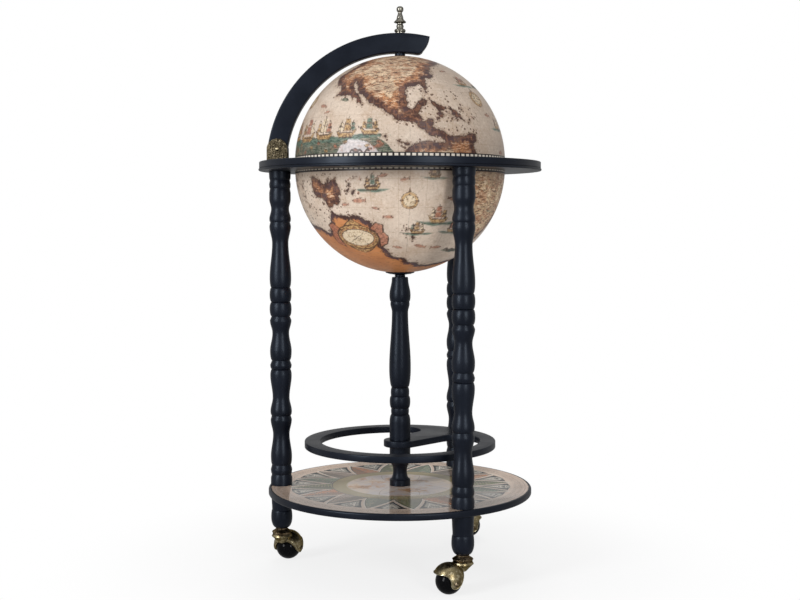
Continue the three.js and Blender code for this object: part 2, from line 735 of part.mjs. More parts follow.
// The hood: the part of a hollow sphere that its side outline keeps, with a round lobe at each end of
// the axle, grown into the swivel head. The swivel axis is Z and the ball trails along X.
function casterHood() {
  const reach = hoodRadius + hoodLift + overrun;
  const wide = 2 * reach;
  const side = hoodSideShares.map(([forward, up]) => point(ballRadius * forward, ballRadius * up));
  const slab = new THREE.ExtrudeGeometry(new THREE.Shape(side), { depth: wide, bevelEnabled: false });
  const lobe = new THREE.CylinderGeometry(hoodLobeRadius, hoodLobeRadius, wide, smallSegments);
  const outer = new THREE.SphereGeometry(hoodRadius, hoodSegments, hoodRows).translate(0, 0, hoodLift);
  const inner = new THREE.SphereGeometry(ballRadius + hoodAir, hoodSegments, hoodRows);
  const axleHole = new THREE.CylinderGeometry(axleRadius + fit, axleRadius + fit, wide, studSegments);
  const kept = toSolid(standUp(slab).translate(0, reach, 0)).add(toSolid(lobe));
  const head = toSolid(swivelHead().translate(-casterTrail, 0, -ballRadius));
  const cover = toSolid(outer).intersect(kept).add(head);
  return toGeometry(cover.subtract(toSolid(inner)).subtract(toSolid(axleHole)));
}

function casterCollar() {
  const bore = stemRadius + fit;
  const shoulderTop = collarEdgeHeight + collarShoulderHeight;
  return revolve([
    point(bore, 0), point(collarFootRadius, 0), point(collarDiscRadius, collarEdgeHeight),
    point(collarNeckRadius, shoulderTop), point(collarNeckRadius, collarHeight), point(bore, collarHeight),
    point(bore, 0),
  ], columnSegments);
}

function buildStand() {
  for (let i = 0; i < legCount; i += 1) {
    const [x, y] = legPlace(i);
    const number = i + 1;
    const stud = blindHole(studRadius, studDepth);
    const socket = blindHole(stemRadius, stemGrip);
    const foot = turned(footShares, footLength, legRadius, footSegments, socket, stud);
    const lower = turned(lowerLegShares, lowerLegLength, legRadius, legSegments, stud, stud);
    const upper = turned(upperLegShares, upperLegLength, legRadius, legSegments, stud, stud);
    const shelfStudLength = 2 * studDepth + shelfThickness + 2 * fit;
    const midStudLength = 2 * studDepth + fit;
    const topStudLength = studDepth + ringStudDepth + fit;
    add(root, `leg_foot_${number}`, foot, blackLacquer, x, y, footBase);
    add(root, `leg_lower_${number}`, lower, blackLacquer, x, y, lowerLegBase);
    add(root, `leg_upper_${number}`, upper, blackLacquer, x, y, upperLegBase);
    add(
      root, `shelf_stud_${number}`, rod(studRadius, shelfStudLength, studSegments), plainSteel,
      x, y, shelfBase - fit - studDepth,
    );
    add(
      root, `leg_mid_stud_${number}`, rod(studRadius, midStudLength, studSegments), plainSteel,
      x, y, upperLegBase - fit - studDepth,
    );
    add(
      root, `leg_top_stud_${number}`, rod(studRadius, topStudLength, studSegments), plainSteel,
      x, y, ringBase - fit - studDepth,
    );
  }
  add(root, 'shelf_board', shelfBoard(), shelfPrint, 0, 0, shelfBase);
  add(root, 'horizon_ring', horizonRing(), blackLacquer, 0, 0, ringBase);
}

function buildColumn() {
  const stud = blindHole(studRadius, studDepth);
  const screwGrip = blindHole(boltRadius, columnScrewGrip);
  const boltGrip = blindHole(boltRadius, bowlBoltGrip);
  const lower = turned(lowerColumnShares, lowerColumnLength, columnRadius, columnSegments, screwGrip, stud);
  const upper = turned(upperColumnShares, upperColumnLength, columnRadius, columnSegments, stud, boltGrip);
  const studLength = 2 * studDepth + bottleRingThickness + 2 * fit;
  const washerBase = shelfBase - fit - washerThickness;
  const screwLength = columnScrewGrip + 2 * fit + shelfThickness + washerThickness + fit;
  const screw = headedScrew(boltRadius, screwLength, headRadius, headHeight, smallSegments).rotateX(Math.PI);
  add(root, 'column_lower', lower, blackLacquer, 0, 0, lowerColumnBase);
  add(root, 'column_upper', upper, blackLacquer, 0, 0, upperColumnBase);
  add(root, 'bottle_ring', bottleRing(), blackLacquer, 0, 0, bottleRingBase);
  add(
    root, 'column_stud', rod(studRadius, studLength, studSegments), plainSteel,
    0, 0, bottleRingBase - fit - studDepth,
  );
  add(
    root, 'column_washer', disc(washerRadius, boltRadius + fit, washerThickness, smallSegments), plainSteel,
    0, 0, washerBase,
  );
  add(root, 'column_screw', screw, plainSteel, 0, 0, washerBase - fit);
  add(
    root, 'column_neck', disc(neckRadius, boltRadius + fit, neckLength, columnSegments), blackLacquer,
    0, 0, neckBase,
  );
  add(root, 'bowl_saucer', bowlSaucer(), blackLacquer, 0, 0, saucerBase);
}

function buildBowl() {
  const washerBase = bowlRim - washerDrop() + fit;
  const boltSeat = washerBase + washerThickness + fit;
  const plateDepth = rackPlateDepthShare * bowlRadius;
  const floorDepth = rackFloorDepthShare * bowlRadius;
  const boltLength = boltSeat - upperColumnBase - upperColumnLength + bowlBoltGrip;
  const bolt = headedScrew(boltRadius, boltLength, headRadius, headHeight, smallSegments);
  add(root, 'bowl_shell', bowlShell(), printedPaper, 0, 0, bowlRim);
  add(
    root, 'bowl_washer', disc(washerRadius, boltRadius + fit, washerThickness, smallSegments), plainSteel,
    0, 0, washerBase,
  );
  add(root, 'bowl_bolt', bolt, plainSteel, 0, 0, boltSeat);
  add(root, 'rack_plate', rackPlate(plateDepth), darkWood, 0, 0, bowlRim - plateDepth - rackPlateThickness);
  add(
    root, 'rack_floor', bowlBoard(floorDepth, rackFloorThickness), darkWood,
    0, 0, bowlRim - floorDepth - rackFloorThickness,
  );
}

function buildHinge() {
  add(root, 'hinge_bracket', hingeBracket(), antiqueBrass, pivotX, 0, ringTop + fit);
  add(root, 'hinge_bolt', hingeBolt(), antiqueBrass, pivotX, 0, pivotZ);
  add(root, 'hinge_nut', hingeNut(), antiqueBrass, pivotX, 0, pivotZ);
  bracketScrewPlaces().forEach((x, i) => {
    const screw = headedScrew(
      bracketScrewRadius, bracketScrewDepth + bracketFloor + 2 * fit, bracketScrewHeadRadius,
      bracketScrewHeadHeight, studSegments,
    );
    add(root, `bracket_screw_${i + 1}`, screw, antiqueBrass, x, 0, ringTop + 2 * fit + bracketFloor);
  });
}

function buildLid() {
  const washerBase = lidRim + washerDrop() - fit - washerThickness;
  const nutBase = washerBase - fit - nutHeight;
  const boltTop = armTop + fit + finialGrip;
  const bolt = rod(boltRadius, boltTop - nutBase, smallSegments);
  const spacerBase = lidTop + fit;
  const finial = turned(
    finialShares, finialLength, finialRadius, smallSegments, blindHole(boltRadius, finialGrip), noHole,
  );
  add(root, 'meridian_arm', meridianArm(), blackLacquer);
  add(root, 'finial', finial, antiqueBrass, 0, 0, armTop + fit);
  const spacerLength = spacerTop - spacerBase;
  add(
    root, 'pole_spacer', disc(spacerRadius, boltRadius + fit, spacerLength, columnSegments), blackLacquer,
    0, 0, spacerBase,
  );
  add(root, 'pole_bolt', bolt, plainSteel, 0, 0, nutBase);
  add(root, 'lid_shell', lidShell(), printedPaper, 0, 0, lidRim);
  add(
    root, 'lid_washer', disc(washerRadius, boltRadius + fit, washerThickness, smallSegments), plainSteel,
    0, 0, washerBase,
  );
  add(root, 'pole_nut', hexNut(nutRadius, boltRadius, nutHeight), plainSteel, 0, 0, nutBase);
}

function buildCasters() {
  for (let i = 0; i < legCount; i += 1) {
    const [x, y] = legPlace(i);
    const number = i + 1;
    const swivel = new THREE.Group();
    swivel.position.set(x, y, 0);
    swivel.rotation.z = casterAngles[i];
    root.add(swivel);
    const stem = rod(stemRadius, footBase + stemGrip - headBoreBase - fit, smallSegments);
    add(root, `caster_collar_${number}`, casterCollar(), antiqueBrass, x, y, collarBase);
    add(swivel, `caster_stem_${number}`, stem, plainSteel, 0, 0, headBoreBase + fit);
    add(swivel, `caster_hood_${number}`, casterHood(), antiqueBrass, casterTrail, 0, ballRadius);
    add(swivel, `caster_axle_${number}`, casterAxle(), antiqueBrass, casterTrail, 0, ballRadius);
    add(swivel, `caster_ball_${number}`, casterBall(), glossBlack, casterTrail, 0, ballRadius);
  }
}

buildStand();
buildColumn();
buildBowl();
buildHinge();
buildLid();
buildCasters();

export default root;
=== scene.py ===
"""A floor globe bar: a hollow printed globe on a turned black stand with hooded ball casters.

The upper half of the globe is a lid hung from a meridian arm. Sizes are written in millimetres, and
every piece is made in the frame of the part: Z up, the floor at zero, the globe's axis at the centre,
and the hinge on the minus X side.
"""
import math

import bmesh
import bpy
import numpy as np
from mathutils import Matrix, Vector


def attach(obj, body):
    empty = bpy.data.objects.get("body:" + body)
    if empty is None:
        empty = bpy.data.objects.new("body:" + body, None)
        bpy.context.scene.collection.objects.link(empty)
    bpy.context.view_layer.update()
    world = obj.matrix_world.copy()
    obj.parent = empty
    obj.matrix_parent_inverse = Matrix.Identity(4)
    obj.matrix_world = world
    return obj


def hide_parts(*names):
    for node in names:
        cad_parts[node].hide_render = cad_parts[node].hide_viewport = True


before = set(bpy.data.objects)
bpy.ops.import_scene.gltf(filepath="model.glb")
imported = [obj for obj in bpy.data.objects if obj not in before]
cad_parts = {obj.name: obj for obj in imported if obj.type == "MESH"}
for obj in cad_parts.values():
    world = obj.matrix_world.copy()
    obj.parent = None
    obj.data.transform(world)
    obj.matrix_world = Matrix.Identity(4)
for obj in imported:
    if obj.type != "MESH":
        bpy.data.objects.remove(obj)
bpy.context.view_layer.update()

MM = 0.001
TURN = 2 * math.pi

# The heights and radii of the stand.
GLOBE, WALL = 165.0, 4.0
LID_RIM, BOWL_RIM = 639.8, 630.6
RING, RING_BASE, RING_THICK, RING_OPENING = 222.0, 625.3, 14.2, 155.0
LEG_CIRCLE, LEG = 189.8, 17.3
FOOT_BASE, FOOT_LENGTH = 56.3, 59.0
SHELF, SHELF_BASE, SHELF_THICK, PRINT_EDGE = 209.2, 115.6, 10.3, 204.6
LOWER_BASE, LOWER_LENGTH = 126.2, 292.8
UPPER_BASE, UPPER_LENGTH = 419.3, 205.7
COLUMN = 17.2
LOWER_COLUMN_BASE, LOWER_COLUMN_LENGTH = 126.2, 62.2
UPPER_COLUMN_BASE, UPPER_COLUMN_LENGTH = 199.4, 259.3
BOTTLE_RING_BASE, BOTTLE_RING_THICK = 188.7, 10.4
PIVOT_X, PIVOT_Z, ARM_FOOT, CHEEK = -192.852, 660.0, 15.509, 16.309
ARM_X, ARM_Z, ARM_OUTER, ARM_INNER, ARM_THICK = -2.0, 632.4, 208.2, 177.5, 21.0
ARM_TOP = 840.59
BALL, TRAIL = 19.75, 23.8
CASTER_ANGLES = (1.216, 3.633, 0.358)
COLLAR_BASE = 46.3
NECK_BASE, SAUCER_BASE, SPACER_BASE = 459.0, 462.9, 805.1
RACK_PLATE_HEIGHT, RACK_FLOOR_HEIGHT = 593.6, 513.1
FINIAL_LENGTH, FINIAL_RADIUS = 42.0, 9.6

# The radii of the holes for studs and bolts, stems and axles, and the air between two pieces.
HOLE, STEM_HOLE, AXLE_HOLE, AIR = 3.3, 4.3, 2.3, 0.3

# The camera, fitted to the photograph: metres, millimetres of lens and degrees below the horizon.
CAMERA_PLACE, CAMERA_LENS, CAMERA_PITCH = (0.0277, -2.0371, 0.5484), 57.87, 3.544

TO_METRES = Matrix.Diagonal((MM, MM, MM, 1))
TO_MILLIMETRES = Matrix.Diagonal((1000, 1000, 1000, 1))


def angles(count):
    """Angles that share out a whole turn."""
    return [TURN * k / count for k in range(count)]


def leg_place(index):
    angle = math.pi + index * TURN / 3
    return LEG_CIRCLE * math.cos(angle), LEG_CIRCLE * math.sin(angle)


# ---- shapes


def curve_steps(kind):
    """How far along in radius and in height each point of a turned curve is."""
    steps = {"line": 1, "sway": 14, "round": 8, "tuck": 8}[kind]
    for i in range(1, steps + 1):
        t = i / steps
        if kind == "sway":
            yield (1 - math.cos(math.pi * t)) / 2, t
        elif kind == "round":
            yield math.sin(math.pi * t / 2), 1 - math.cos(math.pi * t / 2)
        elif kind == "tuck":
            yield 1 - math.cos(math.pi * t / 2), math.sin(math.pi * t / 2)
        else:
            yield t, t


def turned_outline(stops, length, radius):
    """The outline of a turned piece from its stops: height share, radius share, kind of curve."""
    outline = [(stops[0][1] * radius, stops[0][0] * length)]
    for (z0, r0, _), (z1, r1, kind) in zip(stops, stops[1:]):
        for along_r, along_z in curve_steps(kind):
            outline.append(((r0 + (r1 - r0) * along_r) * radius, (z0 + (z1 - z0) * along_z) * length))
    return outline


def linked(name, data):
    """A new object in the scene."""
    piece = bpy.data.objects.new(name, data)
    bpy.context.scene.collection.objects.link(piece)
    return piece


def put(name, mesh, finishes, body, node):
    """Makes a mesh a piece, with its finishes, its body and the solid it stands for."""
    piece = linked(name, mesh)
    for finish in finishes:
        mesh.materials.append(finish)
    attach(piece, body)
    if node:
        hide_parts(node)


def put_solid(node, suffix, mesh, finish, body, sharp=32):
    """Puts a closed mesh in the place of the solid that it is named after."""
    put(f"{node}_{suffix}", solid(mesh, sharp), [finish], body, node)


def soften(mesh, angle=32):
    """Shades a mesh smooth, with its real edges left sharp."""
    mesh.polygons.foreach_set("use_smooth", [True] * len(mesh.polygons))
    mesh.set_sharp_from_angle(angle=math.radians(angle))
    mesh.update()
    return mesh


def lathe(outline, segments, place=(0, 0, 0), axis="Z"):
    """A closed turned mesh. The outline runs from axis to axis, or ends where it began."""
    closed = outline[0] == outline[-1]
    points = outline[:-1] if closed else outline
    verts, rings = [], []
    for r, z in points:
        if r < 1e-6:
            rings.append([len(verts)] * segments)
            verts.append((0, 0, z))
        else:
            rings.append(list(range(len(verts), len(verts) + segments)))
            for k in range(segments):
                a = TURN * k / segments
                verts.append((r * math.cos(a), r * math.sin(a), z))
    faces = []
    pairs = list(zip(rings, rings[1:])) + ([(rings[-1], rings[0])] if closed else [])
    for low, high in pairs:
        for k in range(segments):
            m = (k + 1) % segments
            loop = [low[k], low[m], high[m], high[k]]
            face = [v for j, v in enumerate(loop) if v != loop[j - 1]]
            if len(face) > 2:
                faces.append(face)
    mesh = bpy.data.meshes.new("turning")
    mesh.from_pydata(verts, [], faces)
    turn = Matrix.Rotation(math.radians(-90), 4, "X") if axis == "Y" else Matrix.Identity(4)
    mesh.transform(TO_METRES @ Matrix.Translation(place) @ turn)
    return mesh


def facing_out(mesh):
    """Turns every face of a closed mesh outwards."""
    form = bmesh.new()
    form.from_mesh(mesh)
    bmesh.ops.remove_doubles(form, verts=form.verts, dist=1e-7)
    bmesh.ops.recalc_face_normals(form, faces=form.faces)
    form.to_mesh(mesh)
    form.free()
    return mesh


def solid(mesh, sharp=32):
    """A closed mesh with its faces outwards, shaded smooth but for edges sharper than an angle."""
    return soften(facing_out(mesh), sharp)


def worked_out(holder):
    """The mesh that an object's curve or modifiers make. The object goes."""
    bpy.context.view_layer.update()
    mesh = bpy.data.meshes.new_from_object(holder.evaluated_get(bpy.context.evaluated_depsgraph_get()))
    bpy.data.objects.remove(holder)
    return mesh


def flat_board(loops, thickness, bevel, upright=False, place=(0, 0, 0), rounds=3):
    """A board cut to closed loops of points, the first the outside, with rounded edges."""
    outline = bpy.data.curves.new("board", "CURVE")
    outline.dimensions = "2D"
    outline.fill_mode = "BOTH"
    outline.extrude = thickness / 2 - bevel
    outline.bevel_depth = bevel
    outline.bevel_resolution = rounds
    outline.offset = -bevel
    for loop in loops:
        spline = outline.splines.new("POLY")
        spline.points.add(len(loop) - 1)
        for point, (x, y) in zip(spline.points, loop):
            point.co = (x, y, 0, 1)
        spline.use_cyclic_u = True
    mesh = worked_out(linked("board", outline))
    stand = Matrix.Rotation(math.radians(90), 4, "X") if upright else Matrix.Identity(4)
    mesh.materials.clear()
    mesh.transform(TO_METRES @ Matrix.Translation(place) @ stand)
    return solid(mesh)


def arc(cx, cy, radius, start, end, steps):
    """Points on an arc, its last one left out, so that arcs join end to end."""
    return [
        (cx + radius * math.cos(start + (end - start) * i / steps),
         cy + radius * math.sin(start + (end - start) * i / steps))
        for i in range(steps)
    ]


def bend(start, lean, end, steps=10):
    """Points of a curve between two points that leans towards a third."""
    shares = [k / steps for k in range(steps + 1)]
    return [tuple((1 - t) ** 2 * a + 2 * t * (1 - t) * b + t * t * c for a, b, c in zip(start, lean, end))
            for t in shares]


def moved(mesh, matrix):
    mesh.transform(matrix)
    return mesh


def join(*meshes):
    """One mesh from several."""
    form = bmesh.new()
    for mesh in meshes:
        form.from_mesh(mesh)
    whole = bpy.data.meshes.new("joined")
    form.to_mesh(whole)
    form.free()
    return whole


def combine(mesh, steps):
    """Runs boolean steps, pairs of an operation and a mesh, one after another."""
    base = linked("base", mesh)
    tools = [linked("tool", other) for _, other in steps]
    for (operation, _), tool in zip(steps, tools):
        cut = base.modifiers.new("cut", "BOOLEAN")
        cut.operation = operation
        cut.solver = "EXACT"
        cut.object = tool
    made = worked_out(base)
    for tool in tools:
        bpy.data.objects.remove(tool)
    return made


def ball_mesh(radius, place=(0, 0, 0)):
    """A ball with its poles on the axle."""
    form = bmesh.new()
    bmesh.ops.create_uvsphere(form, u_segments=72, v_segments=48, radius=radius)
    bmesh.ops.rotate(form, verts=form.verts, matrix=Matrix.Rotation(math.radians(90), 3, "X"))
    bmesh.ops.translate(form, verts=form.verts, vec=place)
    mesh = bpy.data.meshes.new("ball")
    form.to_mesh(mesh)
    form.free()
    return mesh


def bead(points, radius, swell=None, ring=False):
    """A round bead that follows a line of points. Its ends taper, unless it runs in a ring."""
    line = bpy.data.curves.new("bead", "CURVE")
    line.dimensions = "3D"
    line.bevel_depth = radius
    line.bevel_resolution = 2
    line.use_fill_caps = not ring
    spline = line.splines.new("POLY")
    spline.points.add(len(points) - 1)
    spline.use_cyclic_u = ring
    for target, co, wide in zip(spline.points, points, swell or [1.0] * len(points)):
        target.co = (*co, 1)
        target.radius = wide
    if not ring:
        for end in (0, -1):
            spline.points[end].radius = 0.35
    mesh = worked_out(linked("bead", line))
    mesh.materials.clear()
    return mesh


# ---- finishes


class Wire:
    """A value on its way through a finish. Sums on wires add the nodes that work them out."""

    def __init__(self, finish, socket):
        self.finish, self.socket = finish, socket

    def math(self, operation, *others, flipped=False):
        values = [*others, self] if flipped else [self, *others]
        return self.finish.node("Math", {"operation": operation}, dict(enumerate(values)))

    def __add__(self, other):
        return self.math("ADD", other)

    __radd__ = __add__

    def __sub__(self, other):
        return self.math("SUBTRACT", other)

    def __rsub__(self, other):
        return self.math("SUBTRACT", other, flipped=True)

    def __mul__(self, other):
        return self.math("MULTIPLY", other)

    __rmul__ = __mul__

    def __truediv__(self, other):
        return self.math("DIVIDE", other)

    def __rtruediv__(self, other):
        return self.math("DIVIDE", other, flipped=True)

    def over(self, low, high):
        """0 below low, 1 above high, and smooth between. low may be the higher one."""
        settings = {"interpolation_type": "SMOOTHSTEP", "clamp": True}
        return self.finish.node("MapRange", settings, {0: self, 1: low, 2: high, 3: 0.0, 4: 1.0})

    def near(self, centre, width, blur):
        """1 within width of centre and 0 farther than blur beyond that."""
        return (self - centre).math("ABSOLUTE").over(width + blur, width)

    def least(self, other):
        return self.math("MINIMUM", other)

    def most(self, other):
        return self.math("MAXIMUM", other)

    def lay(self, share, color):
        """Lays a colour over this one, more of it as share goes from 0 to 1."""
        self.socket = self.finish.mix(share, self, color).socket


class Nodes:
    """A node tree that nodes are added to."""

    def __init__(self, tree):
        self.tree = tree

    def feed(self, socket, value):
        if isinstance(value, Wire):
            self.tree.links.new(value.socket, socket)
        elif isinstance(value, (tuple, list)):
            room = len(socket.default_value)
            socket.default_value = (*value, 1.0)[:room]
        else:
            socket.default_value = value

    def node(self, kind, settings=None, inputs=None, output=0):
        made = self.tree.nodes.new("ShaderNode" + kind)
        for key, value in (settings or {}).items():
            if key == "stops":
                ramp = made.color_ramp.elements
                while len(ramp) < len(value):
                    ramp.new(0.5)
                for stop, (position, color) in zip(ramp, value):
                    stop.position = position
                    stop.color = (*color, 1.0)
            else:
                setattr(made, key, value)
        for key, value in (inputs or {}).items():
            self.feed(made.inputs[key], value)
        return Wire(self, made.outputs[output])

    def ray_kinds(self):
        """1 where a ray is what the camera sees, at once or through glass, and 1 where it is a mirrored one."""
        outputs = self.node("LightPath").socket.node.outputs
        kinds = ("Camera", "Transmission", "Glossy")
        camera, glass, glossy = (Wire(self, outputs[f"Is {kind} Ray"]) for kind in kinds)
        return camera.most(glass), glossy


class Finish(Nodes):
    """A finish for one kind of surface: a Principled shader and what varies over it."""

    def __init__(self, name, color, roughness, **constants):
        self.material = bpy.data.materials.new(name)
        self.material.use_nodes = True
        super().__init__(self.material.node_tree)
        self.shader = self.tree.nodes["Principled BSDF"]
        self.give("Base Color", color)
        self.give("Roughness", roughness)
        for socket, value in constants.items():
            self.give(socket.replace("_", " "), value)
        self.place = self.node("TexCoord", output="Object")
        split = self.node("SeparateXYZ", {}, {0: self.place}).socket.node
        self.x, self.y = (Wire(self, split.outputs[i]) for i in range(2))

    def give(self, socket, value):
        self.feed(self.shader.inputs[socket], value)

    def mix(self, share, first, second):
        """The first colour, going over to the second as share goes from 0 to 1."""
        settings = {"data_type": "RGBA", "clamp_factor": True}
        return self.node("Mix", settings, {0: share, 6: first, 7: second}, output=2)

    def noise(self, scale, detail=4, rough=0.55, stretch=None):
        """Soft noise from 0 to 1. scale is per metre."""
        where = self.place
        if stretch:
            where = self.node("VectorMath", {"operation": "MULTIPLY"}, {0: where, 1: stretch})
        inputs = {"Vector": where, "Scale": scale, "Detail": detail, "Roughness": rough}
        return self.node("TexNoise", {}, inputs)

    def grain(self, scale, **choices):
        """Noise spread so that it nearly fills 0 to 1."""
        return self.noise(scale, **choices).over(0.28, 0.72)

    def cells(self, scale):
        """How far a point is from the middle of the scattered cell that it lies in."""
        return self.node("TexVoronoi", {}, {"Vector": self.place, "Scale": scale}, output="Distance")

    def reading(self, name):
        return self.node("Attribute", {"attribute_name": name}, output="Fac")

    def bump(self, height, strength, depth):
        inputs = {"Height": height, "Strength": strength, "Distance": depth}
        self.give("Normal", self.node("Bump", {}, inputs))


def black_lacquer():
    """Satin black lacquer with a cool cast, a faint orange peel and dust in its surface."""
    coat = Finish("black_lacquer", (0.005, 0.006, 0.01), 0.3, Specular_IOR_Level=0.24,
                  Specular_Tint=(0.72, 0.84, 1.0))
    patch = coat.grain(26, detail=3)
    fine = coat.noise(900, detail=2)
    coat.give("Base Color", coat.mix(patch, (0.003, 0.0039, 0.0078), (0.005, 0.0064, 0.012)))
    coat.give("Roughness", 0.28 + patch * 0.07 + fine * 0.1)
    coat.bump(fine * 0.6 + coat.noise(160, detail=2) * 1.6, 0.12, 0.0006)
    return coat.material


def antique_brass(name, deep, middle, light, hammered=False):
    """Antiqued brass in three tones, dark in its pores and rubbed lighter in scattered patches."""
    metal = Finish(name, middle, 0.34, Metallic=1.0, Specular_Tint=(0.45, 0.4, 0.3))
    stain = metal.grain(95, detail=5)
    speck = metal.grain(620, detail=4)
    rub = metal.grain(240, detail=3)
    tone = metal.mix(speck.over(0.5, 1.0) * 0.6, metal.mix(stain, deep, middle), deep)
    tone.lay(rub.over(0.55, 0.95) * 0.7, light)
    if hammered:
        pits = metal.cells(430)
        tone.lay(pits.over(0.55, 0.05) * 0.85, (0.01, 0.008, 0.005))
        metal.bump(pits + speck * 0.3, 0.9, 0.0007)
    else:
        metal.bump(stain * 0.5 + speck * 0.25, 0.25, 0.0003)
    metal.give("Base Color", tone)
    metal.give("Roughness", 0.2 + stain * 0.14 + speck * 0.14)
    return metal.material


def bright_brass():
    """Brass rubbed bright, on raised rims."""
    metal = Finish("rubbed_brass", (0.46, 0.4, 0.25), 0.2, Metallic=1.0)
    wear = metal.grain(400, detail=4)
    metal.give("Base Color", metal.mix(wear, (0.24, 0.2, 0.11), (0.64, 0.58, 0.4)))
    metal.give("Roughness", 0.14 + wear * 0.14)
    return metal.material


def aged_pewter():
    """The finial's grey metal, cloudy and a little yellow, with specks of dark stain."""
    metal = Finish("aged_pewter", (0.38, 0.37, 0.33), 0.24, Metallic=0.95, Specular_Tint=(0.2, 0.2, 0.18))
    cloud, speck = metal.grain(110, detail=4), metal.grain(800, detail=3)
    tone = metal.mix(cloud, (0.17, 0.16, 0.132), (0.33, 0.318, 0.278))
    metal.give("Base Color", metal.mix(speck.over(0.6, 1.0) * 0.4, tone, (0.08, 0.072, 0.056)))
    metal.give("Roughness", 0.17 + cloud * 0.08 + speck * 0.08)
    metal.bump(cloud + speck * 0.3, 0.12, 0.0002)
    return metal.material


def gloss_black():
    """Moulded glossy black, with fine rolling scuffs."""
    moulded = Finish("gloss_black", (0.003, 0.003, 0.0035), 0.06, Specular_IOR_Level=0.075)
    scuff = moulded.grain(700, detail=5, stretch=(1, 1, 0.15))
    worn = scuff.over(0.75, 1.0)
    moulded.give("Base Color", moulded.mix(worn, (0.0025, 0.0025, 0.003), (0.01, 0.01, 0.011)))
    moulded.give("Roughness", 0.05 + scuff * 0.08)
    moulded.bump(moulded.noise(120, detail=2), 0.05, 0.0005)
    return moulded.material


def plain_steel():
    """Zinc plated steel."""
    metal = Finish("plain_steel", (0.45, 0.46, 0.48), 0.35, Metallic=1.0)
    spangle = metal.cells(500)
    metal.give("Base Color", metal.mix(spangle, (0.36, 0.37, 0.39), (0.55, 0.56, 0.58)))
    metal.give("Roughness", 0.28 + metal.grain(300) * 0.2)
    return metal.material


def dark_wood():
    """Stained wood for the rack inside the globe, with grain along X."""
    wood = Finish("dark_wood", (0.07, 0.03, 0.012), 0.45)
    grain = wood.noise(90, detail=6, stretch=(0.08, 1, 0.3))
    pores = wood.noise(900, detail=3, stretch=(0.05, 1, 1))
    tone = wood.mix(grain.over(0.3, 0.7), (0.045, 0.018, 0.007), (0.125, 0.055, 0.022))
    tone.lay(pores.over(0.6, 0.75) * 0.6, (0.02, 0.008, 0.004))
    wood.give("Base Color", tone)
    wood.give("Roughness", 0.36 + pores * 0.22)
    wood.bump(grain + pores, 0.3, 0.0003)
    return wood.material


def pale_lining():
    """The plain inside of the shells: off-white paper over moulded board."""
    paper = Finish("pale_lining", (0.62, 0.54, 0.42), 0.6)
    fibre = paper.noise(700, detail=5, stretch=(1, 0.3, 1))
    paper.give("Base Color", paper.mix(paper.grain(30) * 0.6 + fibre * 0.3, (0.64, 0.56, 0.44), (0.55, 0.46, 0.35)))
    paper.give("Roughness", 0.52 + fibre * 0.15)
    paper.bump(fibre, 0.2, 0.0002)
    return paper.material


